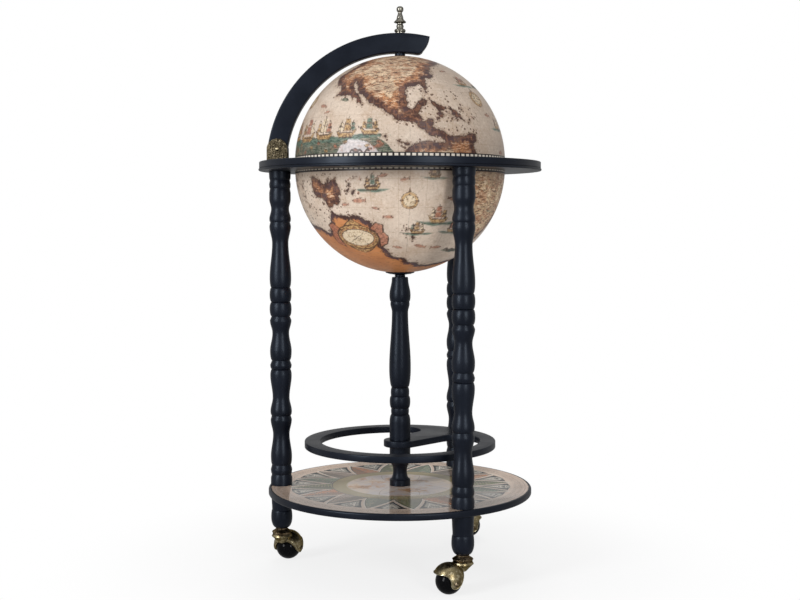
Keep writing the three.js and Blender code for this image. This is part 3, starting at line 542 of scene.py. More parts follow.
def printed_map():
    """The varnished antique style map. The readings are in degrees: how far inside the land a point
    is, how far inside an inked line, how strong a wash lies there, and its height above the rim."""
    paper = Finish("printed_map", (0.6, 0.48, 0.36), 0.3, Specular_IOR_Level=0.3, Coat_Roughness=0.3)
    paper.give("Coat Weight", 0.12)
    land, ink, north = paper.reading("land"), paper.reading("ink"), paper.reading("north")
    ragged = paper.noise(62, detail=6, rough=0.68)
    fine = paper.noise(270, detail=5, rough=0.7)
    coast = land + (ragged - 0.5) * 5.0 + (fine - 0.5) * 2.6
    mottle = paper.grain(13, detail=5)
    # The sea: parchment with pinker and greyer clouds, and foxing.
    sea = paper.mix(mottle, (0.49, 0.385, 0.3), (0.64, 0.525, 0.425))
    sea.lay(paper.grain(34, detail=6).over(0.4, 1.0) * 0.5, (0.47, 0.335, 0.235))
    sea.lay(fine.over(0.54, 0.66) * 0.36, (0.26, 0.165, 0.11))
    sea.lay(fine.over(0.46, 0.36) * 0.4, (0.76, 0.66, 0.56))
    # Faint pen strokes on the open sea.
    scrawl = paper.noise(150, detail=3, rough=0.6, stretch=(1, 1, 2.4)).near(0.5, 0.004, 0.007)
    sea.lay(scrawl * paper.grain(21, detail=2).over(0.5, 0.62) * 0.4, (0.15, 0.085, 0.055))
    # Short strokes that shade the sea along each coast.
    stroke = paper.noise(420, detail=2, stretch=(1, 1, 2.6))
    fringe = (coast + (stroke - 0.5) * 3.2).over(-1.5, -0.1)
    sea.lay(fringe * 0.62, (0.19, 0.11, 0.07))
    # Scattered islets and rocks: crisp dots, thick near the coasts and in the island groups.
    rocks = paper.cells(185)
    size = paper.noise(120, detail=1).over(0.36, 0.66) * 0.3 + 0.12
    dots = (size - rocks).over(0.0, 0.05) * (paper.reading("rocks") + (fine - 0.5)).over(0.25, 0.5)
    sea.lay(dots * 0.9, (0.105, 0.052, 0.032))
    # The land: a dark ragged band at its edge, rust and orange inside it, pale cream farther in.
    spike = paper.noise(190, detail=4, rough=0.7, stretch=(1, 1, 0.7))
    inside = coast + (spike - 0.5) * 7.0
    broad = paper.noise(30, detail=4, rough=0.6)
    shade = paper.mix(broad.over(0.4, 0.6), (0.058, 0.024, 0.018), (0.08, 0.046, 0.05))
    earth = paper.mix(inside.over(2.0, 3.4), shade, (0.19, 0.078, 0.042))
    earth.lay(inside.over(3.4, 4.8), (0.5, 0.23, 0.1))
    pale = (inside + (broad - 0.5) * 24.0).over(5.8, 8.2)
    earth.lay(pale * 0.8, (0.74, 0.57, 0.385))
    # The eastern land of the bowl is yellower.
    around = paper.y.math("ARCTAN2", paper.x) * (180 / math.pi)
    southern = north.over(-23.5, -24.5) * (1 - around.near(-18, 34, 2) * north.over(-56, -54))
    eastern = around.near(-18, 34, 2) * north.over(-1, -3) * (1 - southern)
    ochre = paper.mix(broad.over(0.42, 0.6), (0.64, 0.48, 0.29), (0.47, 0.3, 0.15))
    earth.lay(eastern * inside.over(1.8, 3.2) * 0.8, ochre)
    # Hatched hills: short level strokes in dark brown, rust and cream, and crooked pen lines.
    hatch = paper.noise(230, detail=4, rough=0.75, stretch=(0.5, 0.5, 2.2))
    hills = paper.noise(75, detail=5, rough=0.7, stretch=(0.7, 0.7, 1.6))
    earth.lay(hills.over(0.49, 0.55) * inside.over(2.6, 3.6) * 0.7, (0.39, 0.16, 0.066))
    earth.lay(hatch.over(0.46, 0.4) * inside.over(2.8, 4.4) * 0.8, (0.8, 0.66, 0.48))
    earth.lay(hatch.over(0.51, 0.57) * hills.over(0.38, 0.48) * 0.92, (0.07, 0.032, 0.022))
    earth.lay(broad.over(0.55, 0.63) * 0.3, (0.18, 0.12, 0.084))
    earth.lay((spike + hills).over(0.98, 1.1) * inside.over(0.2, 0.6) * 0.35, (0.34, 0.15, 0.075))
    pen = hills.near(0.455, 0.004, 0.008).most(ragged.near(0.5, 0.004, 0.006)) * inside.over(2.4, 3.4)
    earth.lay(pen * 0.6, (0.1, 0.046, 0.03))
    # The great southern land is a plain burnt orange, browner in patches.
    plain = paper.mix(mottle, (0.35, 0.125, 0.042), (0.57, 0.24, 0.09))
    plain.lay(hills.over(0.52, 0.62) * 0.5, (0.47, 0.185, 0.05))
    hatched = paper.mix(hatch.over(0.54, 0.62) * 0.35, plain, (0.13, 0.055, 0.028))
    earth.lay(southern, paper.mix(inside.over(1.9, 3.2), shade, hatched))
    print_color = paper.mix(coast.over(-0.1, 0.1), sea, earth)
    print_color.lay(coast.near(0.05, 0.12, 0.16) * 0.7, (0.045, 0.02, 0.014))
    # Washes and inked drawings.
    loose = (ragged + fine).over(0.8, 1.15)
    teal = paper.mix(loose, (0.05, 0.07, 0.05), (0.165, 0.175, 0.125))
    teal.lay(hills.over(0.5, 0.6) * 0.6, (0.27, 0.18, 0.115))
    teal.lay(hatch.over(0.52, 0.6) * 0.85, (0.022, 0.034, 0.026))
    teal.lay(hatch.over(0.43, 0.37) * 0.7, (0.4, 0.37, 0.29))
    sea_edge = (paper.reading("teal") + (spike - 0.5) * 0.9).over(0.3, 0.55)
    print_color.lay(sea_edge, teal)
    green = paper.mix(hatch.over(0.44, 0.58), (0.15, 0.21, 0.16), (0.045, 0.085, 0.062))
    print_color.lay(paper.reading("green") * 0.95, green)
    blue = paper.mix(loose, (0.52, 0.47, 0.465), (0.74, 0.665, 0.65))
    blue.lay(hills.over(0.52, 0.62) * 0.5, (0.56, 0.34, 0.26))
    blue.lay(hatch.over(0.58, 0.66) * 0.45, (0.24, 0.22, 0.2))
    print_color.lay((paper.reading("blue") + (spike - 0.5) * 1.2).over(0.35, 0.75) * 0.9, blue)
    gilt = paper.mix(fine.over(0.42, 0.58), (0.52, 0.33, 0.14), (0.19, 0.09, 0.034))
    print_color.lay(paper.reading("gold") * 0.92, gilt)
    russet = paper.mix(fine.over(0.4, 0.6), (0.42, 0.165, 0.092), (0.23, 0.08, 0.048))
    print_color.lay(paper.reading("rose") * 0.88, russet)
    cream = paper.mix(fine.over(0.5, 0.62), (0.68, 0.56, 0.4), (0.43, 0.3, 0.18))
    print_color.lay(paper.reading("pale") * 0.92, cream)
    drawn = (ink + (fine - 0.5) * 0.3).over(-0.1, 0.12)
    print_color.lay(drawn * 0.9, (0.06, 0.032, 0.022))
    # Lines of longitude and latitude.
    level = (north.math("ABSOLUTE") / 15).math("FRACT") * 15
    meridian = ((around + 187.5) / 15).math("FRACT") * 15
    lines = level.near(7.5, 0.08, 0.1).most(meridian.near(7.5, 0.1, 0.12))
    print_color.lay(lines * 0.34, (0.3, 0.19, 0.12))
    # The chequered band beside the rim. On the bowl its squares are narrower, and darker as painted shade from the
    # horizon ring above.
    band = north.math("ABSOLUTE") - north.over(0.5, -0.5) * 0.6
    step = ((around + 180) / 3).math("FRACT")
    light = step.over(0.29, 0.36) * step.over(1.0, 0.94)
    below = north.over(0.5, -0.5)
    light = light * band.over(0.85, 0.95) * (band + below * 0.35).over(2.2, 2.1)
    # The second colour, for the bowl's squares, is the cream darkened as painted shade.
    cream = paper.mix(below, (0.8, 0.73, 0.63), (0.36, 0.315, 0.255))
    checker_bowl_painted_shade = paper.mix(light, (0.016, 0.01, 0.009), cream)
    # Painted shadow of the horizon ring: the bowl's print is darkened just below the band, fading out about 9 degrees
    # down.
    print_color.lay(band.over(9.0, 2.5) * below * 0.5, (0.19, 0.135, 0.095))
    print_color.lay(band.over(2.75, 2.65), checker_bowl_painted_shade)
    paper.give("Base Color", print_color)
    paper.give("Roughness", 0.34 + fine * 0.14 + coast.over(-1, 2) * 0.06)
    paper.bump(fine + ragged * 0.5, 0.06, 0.0005)
    return paper.material


def printed_shelf():
    """The shelf's varnished print: a cloudy disc, an olive ring, and rings of darts in soft colours."""
    board = Finish("printed_shelf", (0.6, 0.5, 0.38), 0.12, Specular_IOR_Level=0.5)
    reach = (board.x * board.x + board.y * board.y).math("SQRT") * 1000
    around = board.y.math("ARCTAN2", board.x) / TURN + 0.5
    cloud, fine = board.grain(22, detail=5), board.noise(260, detail=6, rough=0.7)
    streak = board.noise(140, detail=5, rough=0.7)
    tone = board.mix(cloud, (0.72, 0.545, 0.43), (0.81, 0.65, 0.53))
    ink, cream = (0.02, 0.02, 0.02), (0.86, 0.78, 0.67)

    def sector(count, turn=0.0):
        """Where in its sector a point is, from -0.5 to 0.5, and which sector it is."""
        spot = around * count + turn
        return spot.math("FRACT") - 0.5, spot.math("FLOOR")

    # Sixteen darts point outwards, in four colours by turns. One half of each is in shade.
    spot, number = sector(16, 0.18)
    side = spot.math("ABSOLUTE") * 2
    dart = (180.0 - reach) / 66.0 - side
    ground = reach.over(109, 110)
    colors = [(0.0, (0.2, 0.215, 0.09)), (0.25, (0.64, 0.27, 0.13)), (0.5, (0.43, 0.33, 0.27)),
              (0.75, (0.215, 0.28, 0.195))]
    fill = board.node("ValToRGB", {"stops": colors}, {0: (number / 4).math("FRACT")})
    fill.lay(streak.over(0.46, 0.6) * 0.65, (0.56, 0.45, 0.35))
    fill.lay(spot.over(-0.01, 0.01) * 0.45, (0.09, 0.095, 0.07))
    fill.lay((reach / 5.0).math("FRACT").near(0.5, 0.14, 0.1) * streak.over(0.4, 0.6) * 0.5, ink)
    tone.lay(dart.over(0.0, 0.02) * ground, fill)
    tone.lay(dart.near(0.03, 0.026, 0.012) * ground, cream)
    tone.lay(dart.near(0.085, 0.022, 0.012) * ground * 0.8, ink)
    # Dark edged triangles between them point to the middle, with small ornaments inside.
    between, _ = sector(16, 0.68)
    aside = between.math("ABSOLUTE") * 2
    small = ((reach - 124.0) / 66.0).least((176.0 - reach) / 4.0) - aside
    mist = board.mix(cloud, (0.26, 0.27, 0.24), (0.48, 0.43, 0.36))
    tone.lay(small.over(-0.02, 0.0), mist)
    tone.lay(small.near(0.06, 0.055, 0.015), ink)
    corner = (aside + reach / 60.0).over(3.12, 3.2) * small.over(0.0, 0.02)
    tone.lay(corner * 0.9, ink)
    inner = ((reach - 142.0) / 60.0).least((172.0 - reach) / 3.0) - aside * 1.3
    tone.lay(inner.over(0.0, 0.03), cream)
    knots = board.noise(200, detail=3, rough=0.6).near(0.5, 0.035, 0.02)
    tone.lay(inner.over(0.06, 0.1) * knots.most(reach.near(166.0, 1.6, 0.6)) * 0.85, ink)
    # Fine curls of ink on the ground, a ring of beads near the edge and thin lines.
    curls = board.noise(330, detail=5, rough=0.75).near(0.5, 0.012, 0.02) * reach.over(180, 183) * reach.over(198, 195)
    tone.lay(curls * 0.6, (0.16, 0.12, 0.09))
    tick, _ = sector(96)
    dots = tick.near(0.0, 0.16, 0.05) * reach.near(193.0, 0.9, 0.5)
    tone.lay(dots * 0.35, (0.22, 0.15, 0.1))
    tone.lay(reach.near(199.5, 0.3, 0.3) * 0.45, (0.13, 0.09, 0.06))
    # The olive ring and the cloudy disc inside it.
    olive = board.mix(cloud, (0.33, 0.262, 0.12), (0.48, 0.395, 0.22))
    tone.lay(reach.over(109.2, 108.6), olive)
    tone.lay(reach.near(108.4, 0.8, 0.3), (0.13, 0.105, 0.055))
    tone.lay(reach.near(84.6, 1.0, 0.3), (0.6, 0.52, 0.36))
    wide = board.noise(17, detail=7, rough=0.62)
    centre = board.mix(wide.over(0.36, 0.62), (0.86, 0.68, 0.5), (0.7, 0.63, 0.62))
    warm = board.noise(26, detail=8, rough=0.68)
    centre.lay(warm.over(0.5, 0.62) * 0.85, (0.62, 0.32, 0.14))
    centre.lay(warm.over(0.6, 0.68) * 0.8, (0.19, 0.085, 0.05))
    star, _ = sector(8)
    point = (82.0 - reach) / 64.0 - star.math("ABSOLUTE") * 2
    centre.lay(point.near(0.02, 0.02, 0.02) * 0.5, (0.25, 0.16, 0.09))
    tone.lay(reach.over(84.0, 83.4), centre)
    tone.lay(fine.over(0.56, 0.72) * 0.22, (0.2, 0.14, 0.1))
    board.give("Base Color", tone)
    board.give("Roughness", 0.08 + fine * 0.07)
    board.bump(board.noise(70, detail=3), 0.05, 0.0008)
    return board.material


# ---- the map


COASTS = {
    "africa": [
        (-6, 36), (10, 37), (11, 34), (20, 31), (32, 31), (36, 24), (39, 16), (43, 12), (51, 12), (48, 5),
        (41, -2), (39, -8), (40, -15), (35, -20), (35, -25), (31, -30), (26, -34), (18, -34), (15, -27),
        (12, -17), (13, -8), (9, 0), (9, 4), (4, 6), (-8, 4), (-13, 8), (-17, 14), (-16, 20), (-13, 27),
        (-10, 31),
    ],
    "eurasia": [
        (-9, 37), (-9, 43), (-1, 44), (-4, 48), (3, 51), (8, 54), (10, 57), (12, 55), (20, 55), (24, 58),
        (30, 60), (22, 61), (24, 65), (20, 63), (17, 60), (14, 56), (10, 59), (5, 60), (10, 64), (16, 69),
        (26, 71), (40, 67), (45, 68), (55, 69), (68, 69), (73, 72), (82, 73), (98, 76), (112, 74),
        (130, 71), (142, 73), (160, 70), (180, 69), (190, 66), (178, 63), (170, 60), (163, 58), (158, 53),
        (156, 57), (162, 62), (150, 59), (140, 54), (141, 48), (135, 43), (129, 42), (129, 36), (126, 35),
        (125, 39), (121, 40), (118, 38), (122, 36), (120, 33), (122, 30), (118, 24), (110, 21), (107, 20),
        (109, 13), (105, 9), (100, 13), (103, 5), (104, 1), (100, 5), (98, 12), (97, 17), (92, 22), (87, 21),
        (80, 15), (77, 8), (73, 17), (70, 22), (62, 25), (57, 27), (50, 30), (49, 29), (52, 24), (57, 24),
        (60, 22), (54, 17), (45, 13), (43, 16), (39, 21), (35, 28), (35, 33), (36, 36), (28, 36), (26, 40),
        (24, 38), (22, 36), (19, 42), (13, 45), (18, 40), (15, 38), (11, 43), (7, 43), (3, 42), (0, 39),
        (-5, 36),
    ],
    "greenland": [
        (-45, 60), (-40, 65), (-22, 71), (-18, 77), (-25, 83), (-45, 83), (-65, 80), (-60, 76), (-54, 70),
        (-52, 64),
    ],
    "australia": [
        (114, -22), (122, -18), (129, -15), (136, -12), (137, -16), (141, -17), (142, -11), (146, -19),
        (153, -26), (150, -37), (145, -39), (138, -35), (131, -32), (123, -34), (115, -35), (113, -27),
    ],
    "new_guinea": [(131, -1), (138, -2), (145, -5), (150, -10), (143, -8), (138, -8), (133, -4)],
    "borneo": [(109, 1), (114, 4), (118, 7), (118, 1), (114, -4), (110, -3)],
    "sumatra": [(95, 5), (101, 2), (106, -5), (102, -4), (98, 1)],
    "java": [(105, -6.5), (114, -7.5), (114, -9), (106, -8)],
    "madagascar": [(44, -16), (50, -13), (49, -20), (46, -25), (43, -22)],
    "japan": [(131, 32), (136, 34), (141, 36), (142, 40), (144, 44), (140, 43), (138, 37), (132, 34)],
    "britain": [(-5, 50), (1, 51), (-2, 56), (-4, 58.5), (-6, 56), (-3, 53)],
    "ireland": [(-10, 52), (-6, 52), (-6, 55), (-9, 54)],
    "iceland": [(-23, 64), (-18, 63.4), (-14, 65), (-17, 66.4), (-23, 66)],
    "north_island": [(173, -35), (178, -38), (175, -41.5), (172, -39)],
    "south_island": [(172, -41), (174.5, -42), (169, -47), (166, -46)],
    "baffin": [(-80, 73), (-68, 70), (-62, 66), (-68, 63), (-76, 66), (-86, 70)],
    "ellesmere": [(-90, 77), (-75, 78), (-64, 82), (-80, 83), (-92, 81)],
    "victoria": [(-117, 70), (-105, 69), (-104, 73), (-115, 74)],
}

# The lands near the front, as the map draws them: degrees from the front and of latitude.
LID_LANDS = [
    [
        (-49.2, 62.8), (-54.4, 54.9), (-60.8, 50.0), (-56.1, 47.3), (-48.8, 43.0), (-45.0, 42.1), (-42.4, 38.6),
        (-43.6, 35.3), (-37.6, 35.1), (-32.1, 34.8), (-29.3, 31.6), (-28.0, 33.3), (-25.2, 30.2), (-22.0, 28.1),
        (-22.7, 30.9), (-26.3, 34.5), (-30.4, 38.2), (-33.6, 42.8), (-33.2, 44.8), (-28.6, 39.1), (-25.2, 35.8),
        (-19.5, 31.6), (-17.2, 29.1), (-13.9, 28.6), (-10.9, 26.6), (-6.1, 22.7), (-3.9, 22.3), (-2.4, 20.5),
        (0.8, 19.0), (3.6, 18.6), (8.9, 17.6), (10.6, 15.8), (12.3, 15.2), (14.3, 13.1), (16.3, 11.1),
        (20.3, 11.1), (22.5, 10.8), (25.4, 9.0), (25.3, 7.5), (20.1, 7.7), (15.5, 8.0), (10.9, 7.6),
        (7.5, 5.9), (4.8, 3.8), (3.5, 2.8), (2.0, -3.0), (44.0, -3.0), (43.7, 3.7), (42.4, 6.0), (42.6, 8.1),
        (44.9, 9.5), (45.0, 12.7), (40.7, 13.2), (38.1, 12.1), (33.6, 11.5), (32.7, 10.8), (28.7, 11.5),
        (27.4, 10.6), (25.7, 12.3), (23.6, 14.3), (19.9, 15.3), (17.8, 16.0), (18.7, 18.1), (19.0, 19.9),
        (16.4, 20.2), (14.0, 18.7), (12.6, 19.8), (11.3, 21.6), (10.0, 23.5), (11.6, 24.6), (13.3, 26.2),
        (15.0, 27.8), (17.0, 30.3), (14.4, 31.4), (12.2, 30.6), (9.9, 27.3), (7.9, 25.4), (6.7, 25.3),
        (4.9, 26.9), (5.4, 28.9), (3.9, 30.5), (4.5, 31.3), (4.4, 33.8), (4.2, 37.4), (6.9, 39.3), (9.2, 39.8),
        (11.5, 40.3), (13.9, 40.9), (15.5, 39.4), (16.2, 36.7), (17.7, 35.4), (18.5, 39.5), (19.2, 43.5),
        (19.9, 46.2), (23.8, 46.4), (27.7, 49.5), (25.8, 51.2), (31.6, 57.7), (38.2, 59.9), (43.7, 62.1),
        (40, 80), (-40, 80),
    ],
    [(18.6, 31.6), (20.6, 30.6), (23.0, 28.9), (26.2, 27.6), (28.6, 26.6), (27.4, 25.4), (23.6, 24.6), (21.6, 26.0),
     (19.6, 28.6)],
    [(21.2, 23.6), (24.0, 23.8), (26.0, 22.6), (24.6, 21.2), (22.6, 22.2)],
    [(29.2, 26.8), (32.4, 25.8), (34.6, 25.0), (37.4, 22.4), (38.8, 19.6), (36.6, 20.4), (33.6, 22.0), (29.6, 22.6),
     (31.6, 24.4)],
]
BOWL_LANDS = [
    [(-53.5, -5.7), (-47.4, -6.6), (-44.2, -9.5), (-39.5, -8.8), (-35.0, -6.5), (-34.0, -10.8), (-33.1, -14.0),
     (-35.4, -20.6), (-39.0, -20.5), (-41.6, -22.6), (-44.0, -20.9), (-45.8, -17.5), (-52.7, -15.4), (-54.2, -11.3)],
    [(40, 4), (36, -4), (39, -10), (43, -16), (45, -24), (47, -32), (50, -39), (56, -46), (63, -50), (67, -46),
     (72, -39), (79, -32), (88, -24), (96, -16), (103, -8), (100, -2), (88, 3)],
]
NORTHERN_EDGE = [
    (-180, 71), (-160, 73), (-140, 72), (-120, 69), (-100, 70), (-80, 67), (-64, 66), (-50, 62), (40, 61), (54, 65),
    (68, 68), (84, 66), (100, 70), (120, 73), (140, 71), (160, 74), (180, 71),
]
SOUTHERN_EDGE = [
    (-180, -50), (-165, -47), (-150, -45), (-135, -42), (-120, -37), (-105, -33), (-92, -30), (-78, -32),
    (-68, -34), (-62.6, -34.2), (-58, -37), (-54, -38.2), (-50, -36), (-46.8, -31), (-44.6, -27), (-42, -24.6),
    (-39.5, -26.6), (-34.3, -27.2), (-26.7, -27.0), (-20.5, -29.7), (-16.5, -31.1), (-15.2, -37.5), (-15, -42),
    (-10.4, -50.0), (-5.7, -56.0), (0.8, -56.8), (5.3, -57.8), (8.6, -62.1), (18.4, -62.1), (24.8, -66.0),
    (37, -66.4), (45.2, -64.5), (66, -61), (90, -58), (104, -61), (120, -57), (135, -53), (150, -56), (165, -51),
    (180, -50),
]

# The longitude that faces the minus Y side, where a viewer at the front stands, on each half.
FRONT_LONGITUDES = {1: -97.0, -1: -112.0}


def drawn_place(east, latitude):
    """Where the old style map draws a place: the lands near the front are drawn too large."""
    east, latitude = np.asarray(east, float), np.asarray(latitude, float)
    return east + 17 * np.sin(np.radians(east)), latitude + 13 * np.sin(np.radians(2 * latitude))


def sphere_place(east, latitude):
    """A unit vector for a place as drawn, in degrees from the front and of latitude."""
    a = np.radians(np.asarray(east, float) - 90)
    b = np.radians(np.asarray(latitude, float))
    return np.stack([np.cos(b) * np.cos(a), np.cos(b) * np.sin(a), np.sin(b) + 0 * a], axis=-1)


def map_place(points):
    """The degrees from the front and of latitude of unit vectors."""
    east = np.degrees(np.arctan2(points[:, 1], points[:, 0])) + 90
    return (east + 180) % 360 - 180, np.degrees(np.arcsin(np.clip(points[:, 2], -1, 1)))


def to_segments(points, start, end):
    """The least distance in degrees from each point to any of a set of short lines on the sphere."""
    best = np.full(len(points), 1e9)
    for a, b in zip(start, end):
        along = b - a
        t = np.clip(((points - a) @ along) / max(along @ along, 1e-12), 0, 1)
        gap = points - (a + t[:, None] * along)
        np.minimum(best, np.einsum("ij,ij->i", gap, gap), out=best)
    return np.degrees(np.sqrt(best))


def split_long(loop, most=5.0):
    """Adds points on long sides, so that they follow the sphere."""
    out = []
    for (x0, y0), (x1, y1) in zip(loop, loop[1:] + loop[:1]):
        parts = max(1, int(max(abs(x1 - x0), abs(y1 - y0)) / most))
        out += [(x0 + (x1 - x0) * i / parts, y0 + (y1 - y0) * i / parts) for i in range(parts)]
    return out


def as_drawn(loop, front):
    """A coast's loop, moved to where the map draws it on a half that has that longitude at its front."""
    whole = split_long(loop)
    east, lat = drawn_place([(p[0] - front + 180) % 360 - 180 for p in whole], [p[1] for p in whole])
    return list(zip(unrolled(east).tolist(), lat.tolist()))


def unrolled(degrees):
    """Degrees along a line, with no jump of a whole turn between neighbours."""
    return np.degrees(np.unwrap(np.radians(degrees)))


def inside_loop(lon, lat, loop):
    """Which places are inside a loop drawn on the plane of longitude and latitude."""
    result = np.zeros(len(lon), bool)
    for (x0, y0), (x1, y1) in zip(loop, loop[1:] + loop[:1]):
        crosses = (y0 > lat) != (y1 > lat)
        if y1 != y0:
            result ^= crosses & (lon < (x1 - x0) * (lat - y0) / (y1 - y0) + x0)
    return result


def oval(x, y, wide, tall, steps=24, lean=0.0):
    c, s = math.cos(lean), math.sin(lean)
    return [(x + wide * math.cos(a) * c - tall * math.sin(a) * s,
             y + wide * math.cos(a) * s + tall * math.sin(a) * c) for a in angles(steps)]


def islands():
    """Small scattered islands, round or long, as loops on the map as drawn."""
    chance = np.random.default_rng(11)
    groups = [(32, 24, 11, 6, 12), (-70, -16, 12, 9, 14), (126, 3, 12, 10, 20), (-130, -16, 12, 8, 12),
              (-110, 8, 14, 8, 12), (84, 52, 6, 3, 5), (-104, 44, 6, 4, 5), (168, -4, 6, 9, 8),
              (-2, 8, 7, 3, 4), (-36, -12, 13, 6, 9), (2, -40, 9, 5, 5), (150, 46, 4, 5, 6), (-20, 50, 6, 4, 5)]
    loops = []
    for lon, lat, wide, tall, count in groups:
        for _ in range(count):
            x, y = lon + chance.uniform(-1, 1) * wide, lat + chance.uniform(-1, 1) * tall
            long, short = chance.uniform(0.5, 1.3), chance.uniform(0.35, 0.7)
            loops.append(oval(x, y, long, short, 7, chance.uniform(0, math.pi)))
    return loops


def is_land(points, loops):
    """Which unit vectors are on land."""
    east, lat = map_place(points)
    land = (lat > np.interp(east, *zip(*NORTHERN_EDGE))) | (lat < np.interp(east, *zip(*SOUTHERN_EDGE)))
    for loop in loops:
        for shift in (-360, 0, 360):
            land |= inside_loop(east + shift, lat, loop)
    return land


def land_reading(points, up):
    """Degrees inside the land at each unit vector, negative at sea. up is 1 for the lid and -1 for the bowl."""
    loops = [as_drawn(loop, FRONT_LONGITUDES[up]) for loop in COASTS.values()]
    loops += [split_long(loop) for loop in (LID_LANDS if up > 0 else BOWL_LANDS)] + islands()
    starts, ends = [], []
    for loop in [*loops, split_long(NORTHERN_EDGE[:-1]), split_long(SOUTHERN_EDGE[:-1])]:
        spots = sphere_place([p[0] for p in loop], [p[1] for p in loop])
        starts.append(spots)
        ends.append(np.roll(spots, -1, axis=0))
    starts, ends = np.concatenate(starts), np.concatenate(ends)
    # Only the lines with land on one side and sea on the other are coasts.
    aside = np.cross(starts + ends, ends - starts)
    aside *= 0.008 / np.maximum(np.linalg.norm(aside, axis=1), 1e-9)[:, None]
    sides = [middle / np.linalg.norm(middle, axis=1)[:, None]
             for middle in ((starts + ends) / 2 + aside, (starts + ends) / 2 - aside)]
    coast = is_land(sides[0], loops) != is_land(sides[1], loops)
    gap = to_segments(points, starts[coast], ends[coast])
    return np.clip(np.where(is_land(points, loops), gap, -gap), -14, 14)


def rocks_reading(points, land):
    """How thick the rocks and islets lie, from 0 to 1: along coasts and in three groups."""
    thick = np.clip((4.5 + land) / 3.0, 0, 1) * 0.55
    for lon, lat, reach in ((31, 25, 17), (-58, -12, 24), (-20, 52, 12), (150, -8, 24), (-130, -10, 20)):
        away = np.degrees(np.arccos(np.clip(points @ sphere_place([lon], [lat])[0], -1, 1)))
        thick = np.maximum(thick, np.clip(1.4 - away / reach, 0, 1) * 0.9)
    return thick


WASHES = ("teal", "green", "blue", "gold", "rose", "pale")


